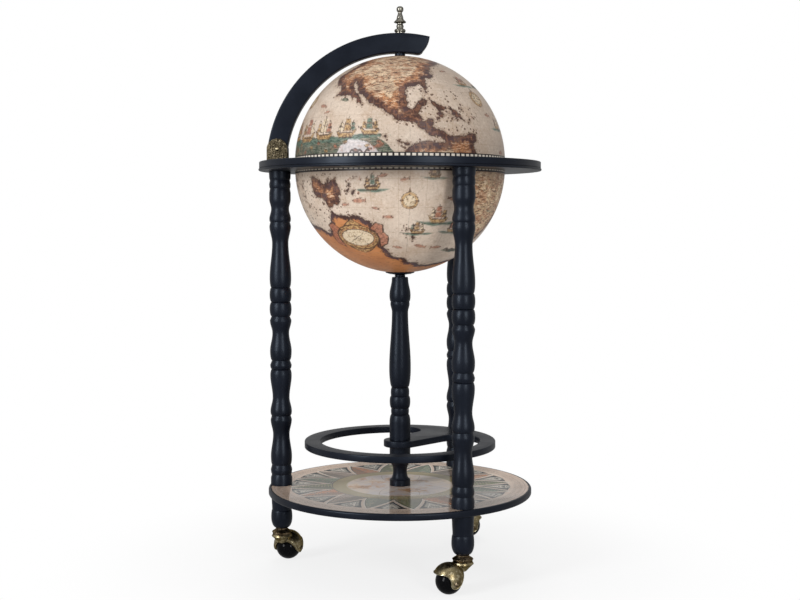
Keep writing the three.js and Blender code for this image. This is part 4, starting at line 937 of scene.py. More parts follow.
class Drawing:
    """Inked drawings on the sea. Each is laid out in degrees about its own centre."""

    def __init__(self, points):
        self.points = points
        self.readings = {name: np.zeros(len(points)) for name in WASHES}
        self.ink = np.full(len(points), -3.0)
        self.east, self.north = map_place(points)

    def shore(self, name, tops, strength=1.0):
        """A wash on the lid from its rim up to a line of points, with a soft edge."""
        top = np.interp(self.east, *zip(*tops), left=-9, right=-9)
        amount = strength * np.clip(0.5 + (top - self.north) / 2.4, 0, 1) * (self.north > 0)
        self.readings[name] = np.maximum(self.readings[name], amount)

    def at(self, lon, lat, size=1.0, turn=0.0, mirror=1, reach=30):
        """Starts a drawing at a place. Later strokes are about it."""
        centre = sphere_place([lon], [lat])[0]
        east = np.cross((0, 0, 1), centre)
        east /= np.linalg.norm(east)
        up = np.cross(centre, east)
        self.near = np.nonzero(self.points @ centre > math.cos(math.radians(reach * max(size, 1.0))))[0]
        rel = self.points[self.near]
        x, y = np.degrees(rel @ east), np.degrees(rel @ up)
        c, s = math.cos(turn), math.sin(turn)
        self.x, self.y = mirror * (c * x + s * y) / size, (-s * x + c * y) / size
        self.size = size

    def gap(self, path, closed):
        best = np.full(len(self.near), 1e9)
        ends = path[1:] + ([path[0]] if closed else [])
        for (x0, y0), (x1, y1) in zip(path, ends):
            dx, dy = x1 - x0, y1 - y0
            t = np.clip(((self.x - x0) * dx + (self.y - y0) * dy) / max(dx * dx + dy * dy, 1e-9), 0, 1)
            best = np.minimum(best, np.hypot(self.x - x0 - t * dx, self.y - y0 - t * dy))
        return best * self.size

    def line(self, path, width=0.22, closed=False):
        self.ink[self.near] = np.maximum(self.ink[self.near], width - self.gap(path, closed))

    def wash(self, name, path, strength=1.0, blur=0.5):
        gap = self.gap(path, True)
        gap = np.where(inside_loop(self.x, self.y, path), gap, -gap)
        amount = strength * np.clip(0.5 + gap / blur, 0, 1)
        self.readings[name][self.near] = np.maximum(self.readings[name][self.near], amount)

    def shape(self, name, path, width=0.2, strength=1.0):
        self.wash(name, path, strength)
        self.line(path, width, closed=True)

    def ship(self, lon, lat, size=1.0, mirror=1, sails=("gold", "pale", "rose")):
        """A ship with three masts and bellied sails on a strip of water. sails gives their washes."""
        self.at(lon, lat, size, mirror=mirror)
        water = [(-7.2, -1.0), (-4.6, -0.5), (-2.0, -0.75), (1.5, -0.35), (4.4, -0.7), (7.6, -0.6), (4.8, -1.5),
                 (1.2, -2.1), (-1.6, -1.6), (-4.8, -1.8)]
        self.wash("green", water, 1.0, blur=0.5)
        hull = [(-3.3, 1.1), (-2.9, 0.0), (-2.2, -0.8), (2.2, -0.8), (3.0, 0.1), (3.7, 1.7), (2.6, 1.2), (2.2, 0.6),
                (-2.0, 0.5), (-2.5, 1.0)]
        self.shape("gold", hull, 0.2)
        self.line([(-2.6, 0.1), (2.8, 0.15)], 0.12)
        self.line([(3.4, 1.5), (5.0, 2.6)], 0.12)
        masts = ((-1.9, 0.8, 3.7, 0.9), (0.2, 0.8, 5.0, 1.25), (2.1, 1.0, 3.8, 0.85))
        for (x, low, high, wide), wash in zip(masts, sails):
            self.line([(x, low), (x, high + 0.7)], 0.14)
            middle = low + 0.55 * (high - low)
            for base, top, reach in ((low + 0.25, middle, wide), (middle + 0.15, high, wide * 0.75)):
                self.shape(wash, [(x - reach, base), (x - reach * 0.4, base + 0.2), (x + reach, base),
                                  (x + reach * 1.25, (base + top) / 2), (x + reach * 0.8, top), (x - reach * 0.8, top),
                                  (x - reach * 0.6, (base + top) / 2)], 0.15)
            self.line([(x, high + 0.7), (x + 0.8, high + 0.95), (x + 0.1, high + 0.4)], 0.13)
            self.line([(x - wide, low + 0.2), (x, high)], 0.07)
        for k in range(-2, 3):
            self.line([(k * 2.1 - 0.9, -1.3), (k * 2.1, -1.05), (k * 2.1 + 0.9, -1.4)], 0.1)

    def fish(self, lon, lat, size=1.0, mirror=1, turn=0.0):
        self.at(lon, lat, size, turn=turn, mirror=mirror)
        body = [(-2.6, 0.0), (-1.6, 0.75), (0.2, 0.95), (1.7, 0.35), (2.7, 0.9), (2.5, 0.0), (2.7, -0.8),
                (1.7, -0.25), (0.2, -0.75), (-1.6, -0.6)]
        self.shape("rose", body, 0.15, 0.9)
        self.line([(-0.2, 0.9), (0.5, 1.6), (1.0, 0.7)], 0.13)
        self.line([(-1.7, 0.3), (-1.5, 0.1)], 0.16)

    def serpent(self, lon, lat, size=1.0):
        self.at(lon, lat, size)
        self.wash("teal", oval(0, -0.6, 6.0, 1.2), 0.8, blur=2.0)
        spine = [(-4.5 + 0.5 * k, 0.9 * math.sin(k * 0.9)) for k in range(18)]
        self.line(spine, 0.5)
        self.shape("rose", oval(4.4, 1.2, 0.9, 0.5))

    def rose(self, lon, lat, size=1.0):
        """A compass rose with long fine rays."""
        self.at(lon, lat, size, reach=34)
        for a in angles(16):
            self.line([(3.4 * math.cos(a), 3.4 * math.sin(a)), (26 * math.cos(a), 26 * math.sin(a))], 0.05)
        self.shape("gold", oval(0, 0, 3.3, 3.3, 40), 0.2)
        self.shape("pale", oval(0, 0, 2.3, 2.3, 40), 0.16)
        tips = (2.9, 0.7, 2.2, 0.7) * 4
        star = [(r * math.cos(a), r * math.sin(a)) for r, a in zip(tips, angles(16))]
        self.shape("rose", star, 0.12)
        self.shape("gold", [(-0.5, 3.4), (0, 5.0), (0.5, 3.4)], 0.14)

    def cartouche(self, lon, lat, size=1.0):
        """A framed oval with scrolls, beads and a pair of crossed oars inside."""
        self.at(lon, lat, size)
        for side in (-1, 1):
            horn = ((5.0, 3.0), (7.6, 4.9), (9.6, 3.6), (8.8, 1.6), (9.8, -0.8), (8.6, -3.4), (6.0, -4.4),
                    (7.0, -1.0), (6.6, 1.4))
            horn = [(side * x, y) for x, y in horn]
            self.shape("rose", horn, 0.3)
            for turn in (1, -1):
                curl = [(side * (7.6 + 0.28 * t * math.cos(t)), turn * (2.2 + 0.28 * t * math.sin(t)))
                        for t in np.linspace(0.4, 6.4, 22)]
                self.line(curl, 0.2)
        self.shape("gold", [(-3.4, 4.2), (-1.8, 5.6), (0, 6.6), (1.8, 5.6), (3.4, 4.2), (0, 4.9)], 0.26)
        self.shape("gold", [(-4.4, -4.0), (0, -5.0), (4.4, -4.0), (2.0, -5.7), (0, -6.4), (-2.0, -5.7)], 0.26)
        self.shape("gold", oval(0, 0, 7.0, 4.7, 48), 0.32)
        self.line(oval(0, 0, 6.3, 4.05, 48), 0.14, closed=True)
        self.shape("pale", oval(0, 0, 5.4, 3.2, 48), 0.24)
        for a in angles(16):
            self.shape("rose", oval(5.9 * math.cos(a), 3.65 * math.sin(a), 0.34, 0.34, 10), 0.1)
        for lean in (-1, 1):
            self.line([(-2.8 * lean, -1.7), (2.4 * lean, 1.5)], 0.18)
            self.shape("gold", oval(2.9 * lean, 1.75, 0.9, 0.42, 12, 0.55 * lean), 0.12)
        self.shape("rose", oval(0, 0, 1.0, 1.0, 16), 0.16)
        self.shape("pale", oval(0, 0, 0.45, 0.45, 12), 0.1)
        for k in range(5):
            self.line([(-3.6 + 1.6 * k, -2.5), (-2.8 + 1.6 * k, -2.25), (-2.0 + 1.6 * k, -2.5)], 0.08)


def draw_motifs(points):
    """All the drawings on the sea. Places are degrees from the front and of latitude."""
    sheet = Drawing(points)
    for lon, lat, size in ((6, -19, 1.35), (-72, 33, 1.2), (58, 34, 1.5), (118, -30, 1.3), (-140, 20, 1.3),
                           (-96, -14, 1.2), (170, 30, 1.2)):
        sheet.rose(lon, lat, size)
    for lon, lat, size in ((-30, -41, 1.75), (128, -38, 1.2), (-150, -30, 1.2)):
        sheet.cartouche(lon, lat, size)
    fleet = ((-60, 11, 2.1, 1), (-44, 11.5, 1.9, -1), (-29, 12, 1.7, 1), (-15, 13, 1.5, -1), (-76, 12, 1.8, 1),
             (24, -30, 1.6, -1), (37, -36, 1.2, 1), (12, -37, 1.2, -1), (-14, -12, 1.3, 1), (19, -6, 1.0, -1),
             (54, 44, 1.2, -1), (72, 18, 1.2, 1), (66, -22, 1.3, -1), (104, 12, 1.3, 1), (130, 34, 1.2, -1),
             (-112, 28, 1.3, -1), (-92, 6, 1.2, 1), (-160, 2, 1.3, 1), (-128, -24, 1.2, -1), (164, -24, 1.3, 1),
             (92, -16, 1.2, -1), (-170, 40, 1.1, 1))
    for number, (lon, lat, size, mirror) in enumerate(fleet):
        washes = ("gold", "rose", "pale", "gold", "green")
        sheet.ship(lon, lat, size, mirror, [washes[(number + k) % 5] for k in range(3)])
    chance = np.random.default_rng(5)
    shoals = ((-24, -8, 1.6), (-22, -19, 1.5), (-24, -14, 1.0), (-6, -28, 1.1), (16, -47, 1.3), (-1, -48, 1.0),
              (30, -48, 1.2), (-52, 29, 1.2), (-10, 6, 1.2), (-8, -6, 1.1), (62, 24, 1.1), (70, 4, 1.1),
              (-13, -23, 0.8), (-31, -21, 0.9), (3, -8, 0.9), (30, -18, 1.0), (-46, 25, 0.8), (44, 22, 0.8),
              (-82, 22, 1.1), (-104, -4, 1.2), (112, -12, 1.1), (148, 12, 1.2), (-146, 8, 1.1), (-120, 40, 1.1),
              (86, -48, 1.1), (170, 8, 1.1), (-164, -22, 1.2), (42, 54, 0.9))
    for lon, lat, size in shoals:
        mirror, lean = chance.choice([-1, 1]), chance.uniform(-0.3, 0.3)
        sheet.fish(lon, lat, size, mirror, lean)
    for lon, lat in ((48, -50), (-20, 3), (-84, -6), (76, 44), (124, -8), (-150, 30), (-30, 33)):
        sheet.serpent(lon, lat, 1.2)
    # A broad painted sea under three large ships at the left of the lid, and shells along it.
    sheet.shore("teal", [(-100, 9), (-84, 10), (-76, 12.5), (-66, 10.5), (-58, 12), (-47, 10.5), (-38, 11.5),
                         (-30, 9.5), (-20, 12), (-12, 11), (-6, 7), (-2, 2)])
    sheet.shore("blue", [(-34, 2), (-31, 7), (-27, 9.5), (-21, 9.5), (-16, 8), (-11, 4), (-8, 2)], 0.9)
    for k in range(11):
        sheet.at(-72 + k * 6.2, 6 + 2.4 * math.sin(k * 2.1), 1.0, turn=chance.uniform(-0.6, 0.6))
        sheet.shape("gold" if k % 2 else "rose", oval(0, 0, 1.3, 0.8, 14), 0.16)
        for ray in (-0.6, 0.0, 0.6):
            sheet.line([(0, -0.7), (ray, 0.7)], 0.1)
    return sheet


def half_globe(node, body, rim, up):
    """A half shell with the map on its outside. up is 1 for the lid and -1 for the bowl."""
    columns, rows, lining = 600, 150, 24
    start = math.asin(HOLE / GLOBE)
    outline = []
    for i in range(rows + 1):
        a = start + (math.pi / 2 - start) * i / rows
        outline.append((GLOBE * math.sin(a), up * GLOBE * math.cos(a)))
    start = math.asin(HOLE / (GLOBE - WALL))
    for i in range(lining + 1):
        a = math.pi / 2 + (start - math.pi / 2) * i / lining
        outline.append(((GLOBE - WALL) * math.sin(a), up * (GLOBE - WALL) * math.cos(a)))
    outline.append(outline[0])
    mesh = solid(lathe(outline, columns, (0, 0, rim)), 40)
    co = np.empty(len(mesh.vertices) * 3)
    mesh.vertices.foreach_get("co", co)
    co = co.reshape(-1, 3) / MM - (0, 0, rim)
    length = np.linalg.norm(co, axis=1)
    unit = co / length[:, None]
    drawing = draw_motifs(unit)
    values = {
        "land": land_reading(unit, up), "ink": drawing.ink,
        "north": np.degrees(np.arcsin(np.clip(unit[:, 2], -1, 1))), **drawing.readings,
    }
    values["rocks"] = rocks_reading(unit, values["land"])
    # The drawings keep clear of the land, but for the cartouches on the southern land.
    for key in ("ink", *WASHES):
        clear = np.maximum(np.clip((values["land"] + 1.2) / -1.0, 0, 1), values["north"] < -24)
        values[key] = values[key] * clear + (1 - clear) * (-3.0 if key == "ink" else 0.0)
    for key, data in values.items():
        mesh.attributes.new(key, "FLOAT", "POINT").data.foreach_set("value", data.astype(np.float32))
    put(f"{node}_map", mesh, [MAP, LINING], body, node)
    for face in mesh.polygons:
        if min(length[v] for v in face.vertices) < GLOBE - WALL / 2:
            face.material_index = 1


LACQUER, RUBBED, PEWTER, GLOSS = black_lacquer(), bright_brass(), aged_pewter(), gloss_black()
STEEL, WOOD, LINING, MAP, SHELF_PRINT = plain_steel(), dark_wood(), pale_lining(), printed_map(), printed_shelf()
BRASS = antique_brass("antique_brass", (0.15, 0.116, 0.06), (0.39, 0.32, 0.18), (0.62, 0.54, 0.36))
DARK_BRASS = antique_brass("dark_brass", (0.05, 0.034, 0.019), (0.21, 0.152, 0.09), (0.52, 0.41, 0.27))
HAMMERED = antique_brass("hammered_brass", (0.03, 0.024, 0.014), (0.13, 0.105, 0.065), (0.26, 0.215, 0.142), True)


# ---- the stand


UPPER_LEG = [
    (0, 0.845, "line"), (0.056, 0.997, "round"), (0.11, 0.84, "tuck"), (0.183, 0.985, "round"),
    (0.453, 0.742, "sway"), (0.584, 0.98, "sway"), (0.614, 0.9, "line"), (0.638, 0.98, "round"),
    (0.715, 0.814, "sway"), (0.791, 0.978, "sway"), (0.84, 0.978, "line"), (0.872, 0.905, "line"),
    (0.906, 0.977, "round"), (0.937, 0.905, "line"), (0.967, 0.98, "round"), (1, 1, "line"),
]
LOWER_LEG = [
    (0, 0.985, "line"), (0.039, 0.985, "line"), (0.059, 0.88, "line"), (0.086, 0.982, "round"),
    (0.111, 0.866, "line"), (0.155, 0.972, "round"), (0.277, 0.758, "sway"), (0.359, 0.975, "sway"),
    (0.381, 0.864, "line"), (0.403, 0.982, "round"), (0.48, 0.775, "sway"), (0.601, 0.982, "sway"),
    (0.634, 0.832, "tuck"), (0.658, 0.982, "round"), (0.683, 0.825, "line"), (0.732, 0.99, "round"),
    (0.831, 0.768, "sway"), (0.901, 0.984, "sway"), (0.923, 0.836, "line"), (0.961, 1, "round"),
    (1, 0.843, "tuck"),
]
FOOT = [(0, 0.49, "line"), (0.28, 0.98, "round"), (0.5, 0.884, "tuck"), (0.8, 0.928, "sway"), (1, 0.97, "line")]
LOWER_COLUMN = [
    (0, 0.965, "line"), (0.15, 0.965, "line"), (0.35, 0.64, "round"), (0.51, 0.78, "tuck"),
    (0.59, 0.9, "line"), (0.7, 0.965, "round"), (1, 0.965, "line"),
]
UPPER_COLUMN = [
    (0, 0.97, "line"), (0.103, 0.97, "line"), (0.156, 0.785, "tuck"), (0.181, 0.835, "round"),
    (0.195, 0.81, "line"), (0.237, 0.955, "round"), (0.27, 0.825, "tuck"), (0.292, 0.858, "round"),
    (0.323, 0.745, "tuck"), (0.441, 1, "round"), (0.786, 0.745, "sway"), (0.838, 0.888, "sway"),
    (0.851, 0.862, "line"), (0.89, 0.973, "round"), (0.99, 0.756, "sway"), (1, 0.725, "line"),
]
FINIAL = [
    (0, 0.77, "line"), (0.042, 0.77, "line"), (0.095, 0.92, "round"), (0.165, 0.52, "tuck"),
    (0.259, 0.6, "sway"), (0.335, 0.49, "sway"), (0.37, 0.49, "line"), (0.415, 1, "round"),
    (0.44, 0.9, "line"), (0.5, 0.62, "line"), (0.56, 0.53, "line"), (0.775, 0.31, "sway"),
    (0.9, 0.57, "round"), (1, 0, "tuck"),
]


def turned(node, stops, length, radius, place, holes, body="stand", finish=None):
    """A turned piece with blind holes for its studs: each end's hole has a radius and a depth."""
    (low_radius, low), (high_radius, high) = holes
    foot = [(0, low), (low_radius, low), (low_radius, 0)]
    head = [(high_radius, length), (high_radius, length - high), (0, length - high)] if high else []
    mesh = lathe([*foot, *turned_outline(stops, length, radius), *head], 72, place)
    put_solid(node, "turning", mesh, finish or LACQUER, body, 38)


def build_stand():
    stud, screw, stem = (HOLE, 22.3), (HOLE, 30.3), (STEM_HOLE, 30.3)
    legs = (("foot", FOOT, FOOT_LENGTH, FOOT_BASE, stem), ("lower", LOWER_LEG, LOWER_LENGTH, LOWER_BASE, stud),
            ("upper", UPPER_LEG, UPPER_LENGTH, UPPER_BASE, stud))
    for i in range(3):
        for part, stops, length, base, hole in legs:
            turned(f"leg_{part}_{i + 1}", stops, length, LEG, (*leg_place(i), base), (hole, stud))
    turned("column_lower", LOWER_COLUMN, LOWER_COLUMN_LENGTH, COLUMN, (0, 0, LOWER_COLUMN_BASE), (screw, stud))
    turned("column_upper", UPPER_COLUMN, UPPER_COLUMN_LENGTH, COLUMN, (0, 0, UPPER_COLUMN_BASE),
           (stud, (HOLE, 28.3)))


def rounded(cx, cz, radius, start, end, steps=6):
    """Points of a rounded edge in a section, from one angle to another in quarter turns."""
    return [(cx + radius * math.cos(math.pi / 2 * a), cz + radius * math.sin(math.pi / 2 * a))
            for a in (start + (end - start) * i / steps for i in range(steps + 1))]


def build_ring():
    """The horizon ring, with a bead and a groove under its edge and a rabbet round the globe."""
    wall, rabbet, rabbet_height = RING - 1.1, GLOBE + AIR, 5.6
    section = [
        (rabbet, 0), *rounded(RING - 1.9, 1.9, 1.9, -1, 0), *rounded(RING - 1.0, 2.5, 1.0, 0, 1, 4),
        (wall - 0.9, 3.7), (wall - 0.9, 4.1), (wall, 4.5), *rounded(wall - 1.6, RING_THICK - 1.6, 1.6, 0, 1),
        *rounded(RING_OPENING + 0.8, RING_THICK - 0.8, 0.8, 1, 2, 4), (RING_OPENING, rabbet_height),
        (rabbet, rabbet_height), (rabbet, 0),
    ]
    put_solid("horizon_ring", "board", lathe(section, 256, (0, 0, RING_BASE)), LACQUER, "stand", 40)


def build_shelf():
    """The shelf, its print a little lower than its lacquered edge."""
    round_edge, sunk, top = 2.6, 0.12, SHELF_THICK
    edge = SHELF - round_edge
    section = [
        (0, 0), *rounded(edge, round_edge, round_edge, -1, 0), *rounded(edge, top - round_edge, round_edge, 0, 1),
        (PRINT_EDGE, top), (PRINT_EDGE - 0.25, top - sunk), (0, top - sunk),
    ]
    mesh = solid(lathe(section, 256, (0, 0, SHELF_BASE)), 40)
    put("shelf_board_disc", mesh, [LACQUER, SHELF_PRINT], "stand", "shelf_board")
    for face in mesh.polygons:
        middle = face.center
        if math.hypot(middle.x, middle.y) < (PRINT_EDGE - 0.1) * MM and middle.z > (SHELF_BASE + top / 2) * MM:
            face.material_index = 1


def build_bottle_ring():
    """The bottle ring: its slot runs round from one side of a tongue at the column to the other."""
    outer, rim, tongue, end = 152.0, 127.0, 26.0, 33.5
    right, back = math.pi / 24, math.pi / 2
    reach = rim - end
    lean = math.acos((tongue + end) / reach)
    slot = [
        *arc(0, 0, rim, back, right + TURN, 200),
        *arc(reach * math.cos(right), reach * math.sin(right), end, right, right + math.pi - lean, 40),
        *arc(0, 0, tongue, right - lean, back + lean - TURN, 60),
        *arc(reach * math.cos(back), reach * math.sin(back), end, back + math.pi + lean, back + TURN, 40),
    ]
    middle = BOTTLE_RING_BASE + BOTTLE_RING_THICK / 2
    mesh = flat_board([arc(0, 0, outer, 0, TURN, 256), slot], BOTTLE_RING_THICK, 1.3, place=(0, 0, middle))
    put("bottle_ring_board", mesh, [LACQUER], "stand", "bottle_ring")


def build_column_top():
    """The neck and the saucer between the column and the bowl, and the spacer at the lid's pole."""
    neck = [(HOLE, 0), (7.6, 0), (8.3, 0.7), (8.3, 2.9), (7.6, 3.6), (HOLE, 3.6), (HOLE, 0)]
    spacer = [(HOLE, 0), (7.6, 0), (8.2, 0.6), (8.2, 3.5), (7.6, 4.1), (HOLE, 4.1), (HOLE, 0)]
    centre = GLOBE + 2.4 + AIR
    dish = [(r, centre - math.sqrt((GLOBE + AIR) ** 2 - r * r)) for r in np.linspace(22.6, HOLE, 12)]
    rim = dish[0][1]
    saucer = [(HOLE, 0), (11.0, 0), (11.5, 0.3), (16.5, 0.75), (22.2, rim - 1.35), (22.9, rim - 0.9),
              (22.95, rim - 0.35), *dish, (HOLE, 0)]
    for node, suffix, section, segments, base, body in (
        ("column_neck", "ring", neck, 64, NECK_BASE, "stand"),
        ("bowl_saucer", "dish", saucer, 96, SAUCER_BASE, "stand"),
        ("pole_spacer", "ring", spacer, 64, SPACER_BASE, "arm"),
    ):
        put_solid(node, suffix, lathe(section, segments, (0, 0, base)), LACQUER, body)


def build_rack():
    """The rack in the bowl: a plate with holes for bottles and glasses, and a floor under it."""
    bottle, glass = (62, 46, 64), (112, 28, 48)
    holes = []
    for i in range(3):
        a = TURN * i / 3
        for circle, hole, steps in (bottle, glass):
            holes.append(arc(circle * math.cos(a), circle * math.sin(a), hole, 0, TURN, steps))
            a += math.pi / 3
    plate = flat_board([arc(0, 0, 156.0, 0, TURN, 128), *holes], 6, 1.0, place=(0, 0, RACK_PLATE_HEIGHT))
    floor = flat_board([arc(0, 0, 107.5, 0, TURN, 128)], 5, 1.0, place=(0, 0, RACK_FLOOR_HEIGHT))
    for node, board in (("rack_plate", plate), ("rack_floor", floor)):
        put(f"{node}_board", board, [WOOD], "stand", node)


# ---- the arm and its hinge


def build_arm():
    """The meridian arm, a quarter ring that ends in a bowed slant past the pole, and its finial."""
    tail, taper, corner_round, bowed = 0.235, 0.036, 8, 3.6
    rise = PIVOT_Z - ARM_Z
    outer_foot, inner_foot = (math.atan2(rise, PIVOT_X + side * ARM_FOOT - ARM_X) for side in (-1, 1))
    outer_tail = math.pi / 2 - tail
    inner_tail = outer_tail + taper
    turn = corner_round / ARM_INNER
    tip = Vector((ARM_OUTER * math.cos(outer_tail), ARM_OUTER * math.sin(outer_tail)))
    corner = Vector((ARM_INNER * math.cos(inner_tail), ARM_INNER * math.sin(inner_tail)))
    slant = (tip - corner).normalized()
    edge = corner + slant * corner_round
    bow = (tip + edge) / 2 + Vector((slant.y, -slant.x)) * bowed
    run = (ARM_INNER * math.cos(inner_tail + turn), ARM_INNER * math.sin(inner_tail + turn))
    loop = [
        *arc(0, 0, ARM_OUTER, outer_foot, outer_tail, 110), *bend(tip, bow, edge)[:-1],
        *bend(edge, corner, run)[:-1], *arc(0, 0, ARM_INNER, inner_tail + turn, inner_foot, 100),
        *arc(PIVOT_X - ARM_X, rise, ARM_FOOT, 0, -math.pi, 28),
    ]
    mesh = flat_board([loop], ARM_THICK, 2.2, upright=True, place=(ARM_X, 0, ARM_Z), rounds=4)
    put("meridian_arm_board", mesh, [LACQUER], "arm", "meridian_arm")
    turned("finial", FINIAL, FINIAL_LENGTH, FINIAL_RADIUS, (0, 0, ARM_TOP + AIR), ((HOLE, 12.3), (0, 0)), "arm",
           PEWTER)


def build_hinge():
    """The folded bracket, with a raised rim on each cheek, and its bolt. The nut and screws are the solids."""
    base = RING_BASE + RING_THICK + AIR
    rise = PIVOT_Z - base
    inside = ARM_THICK + 0.8

    def cheek_loop(inset=0.0):
        r = CHEEK - inset
        return [(-r, inset), (r, inset), *arc(0, rise, r, 0, math.pi, 48), (-r, rise)]

    def plate(start, end, thickness, middle):
        half = inside / 2 + 0.2
        loop = [(start, -half), (end, -half), (end, half), (start, half)]
        return flat_board([loop], thickness, 0.3, place=(PIVOT_X, 0, base + middle))

    parts = []
    for side in (-1, 1):
        y = side * (inside / 2 + 0.75)
        parts.append(flat_board([cheek_loop()], 1.5, 0.3, True, (PIVOT_X, y, base), 2))
        rim = [(PIVOT_X + x, side * (inside / 2 + 1.38), base + z) for x, z in cheek_loop(1.5)]
        rim.append(rim[0])
        parts.append(moved(bead(rim, 0.42), TO_METRES))
    floor, stop_lip = plate(-CHEEK, CHEEK, 1.8, 0.9), plate(-CHEEK, -CHEEK + 1.6, 6.4, 3.2)
    mesh = soften(join(*parts, floor, stop_lip), 40)
    put("hinge_bracket_fold", mesh, [HAMMERED], "stand", "hinge_bracket")
    half = inside / 2 + 1.5
    head = -half - AIR
    bolt = [(0, head - 2.1), (1.4, head - 1.95), (2.6, head - 1.3), (3.2, head - 0.3), (3.2, head), (2.0, head),
            (2.0, half + 2.9), (1.6, half + 3.3), (0, half + 3.3)]
    mesh = lathe(bolt, 40, (PIVOT_X, 0, PIVOT_Z), "Y")
    put_solid("hinge_bolt", "domed", mesh, BRASS, "stand", 40)
    for node in ("hinge_nut", "bracket_screw_1", "bracket_screw_2"):
        put_finish(node, BRASS)


def put_finish(node, finish):
    """Gives a solid that stays as it is its finish."""
    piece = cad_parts[node]
    piece.data.materials.clear()
    piece.data.materials.append(finish)


# ---- the casters


# The hood is part of a sphere about a point above the ball's centre. In its side view, forward and up
# from the axle, the front rim sweeps from the lobe out to the lip and the rear edge comes down again.
HOOD, HOOD_LIFT, LOBE = 23.65, 4.0, 7.5
HOOD_FRONT = bend((7.2, 2.0), (9.4, 13.6), (17.0, 13.6), 14)
HOOD_REAR = [*bend((-4.5, -6.0), (-8.2, -4.4), (-10.2, -1.6), 6),
             *bend((-10.2, -1.6), (-14.2, 5.6), (-18.4, 14.6), 10)[1:]]


def on_axle(outline, segments):
    """A turned mesh about the axle, in millimetres."""
    return moved(lathe(outline, segments, axis="Y"), TO_MILLIMETRES)


def hood_mesh():
    """The hood with its swivel head, about the ball's centre, the swivel axis at minus TRAIL in X."""
    reach = 30.0
    loop = [*HOOD_FRONT, (30, 13.4), (30, 32), (-30, 32), (-29.6, 24.0), *HOOD_REAR[::-1]]
    form = bmesh.new()
    front, backs = ([form.verts.new((x, y, z)) for x, z in loop] for y in (-reach, reach))
    form.faces.new(front)
    form.faces.new(backs[::-1])
    for k in range(len(loop)):
        m = (k + 1) % len(loop)
        form.faces.new([front[k], backs[k], backs[m], front[m]])
    bmesh.ops.recalc_face_normals(form, faces=form.faces)
    wedge = bpy.data.meshes.new("wedge")
    form.to_mesh(wedge)
    form.free()
    lobe = on_axle([(0, -reach), (LOBE, -reach), (LOBE, reach), (0, reach)], 48)
    head = moved(lathe([
        (0, 31.5), (5.0, 31.5), (5.5, 31.8), (10.4, 37.2), (15.4, 42.2), *rounded(15.5, 43.0, 0.7, -0.5, 0.3, 4),
        (15.1, 45.0), *rounded(14.3, 45.4, 0.6, 0.2, 1, 4), (STEM_HOLE, 46.0), (STEM_HOLE, 36.0), (0, 36.0),
    ], 64, (-TRAIL, 0, -BALL)), TO_MILLIMETRES)
    hole = on_axle([(0, -reach), (AXLE_HOLE, -reach), (AXLE_HOLE, reach), (0, reach)], 24)
    for each in (lobe, head, hole):
        facing_out(each)
    return combine(ball_mesh(HOOD, (0, 0, HOOD_LIFT)), [
        ("INTERSECT", combine(wedge, [("UNION", lobe)])), ("UNION", head),
        ("DIFFERENCE", ball_mesh(BALL + 1.3)), ("DIFFERENCE", hole),
    ])


def hood_rims():
    """A bead round the hood's edge, swelling to its lip, and a ridge on each side of the swivel head."""
    lip = [(21.6 - 4.6 * (k / 8) ** 2, 13.5 + 0.1 * (k / 8) ** 2) for k in range(8)]
    lobe = [(LOBE * math.cos(a), LOBE * math.sin(a)) for a in (math.radians(10 - 8 * k) for k in range(17))]
    points, swell = [], []
    for x, z in [*lip, *HOOD_FRONT[::-1], *lobe, *HOOD_REAR[1:], (-19.5, 16.9)]:
        points.append((x, math.sqrt(max(0.0, HOOD ** 2 - x * x - (z - HOOD_LIFT) ** 2)), z))
        swell.append(1.0 + 0.7 * max(0.0, min(1.0, (x - 6) / 12)))
    whole = points + [(x, -y, z) for x, y, z in points[-2:0:-1]]
    edge = bead(whole, 0.62, swell=swell + swell[-2:0:-1], ring=True)
    # The ridges run where the swivel head's cone meets the hood, from one height to another.
    ridges, low, rise = [], 12.6, 11.6
    cone_foot, cone_base, cone_height, cone_spread = 5.5, 11.75, 11.3, 10.7
    for side in (-1, 1):
        line = []
        for k in range(15):
            z = low + rise * k / 14
            cone = cone_foot + (z - cone_base) / cone_height * cone_spread
            square = HOOD ** 2 - (z - HOOD_LIFT) ** 2
            x = (cone ** 2 - square - TRAIL ** 2) / (2 * TRAIL)
            y = side * math.sqrt(max(0.0, square - x * x))
            out = 1 + 0.9 / HOOD
            line.append((x * out, y * out, HOOD_LIFT + (z - HOOD_LIFT) * out))
        ridges.append(bead(line, 0.75))
    return join(edge, *ridges)


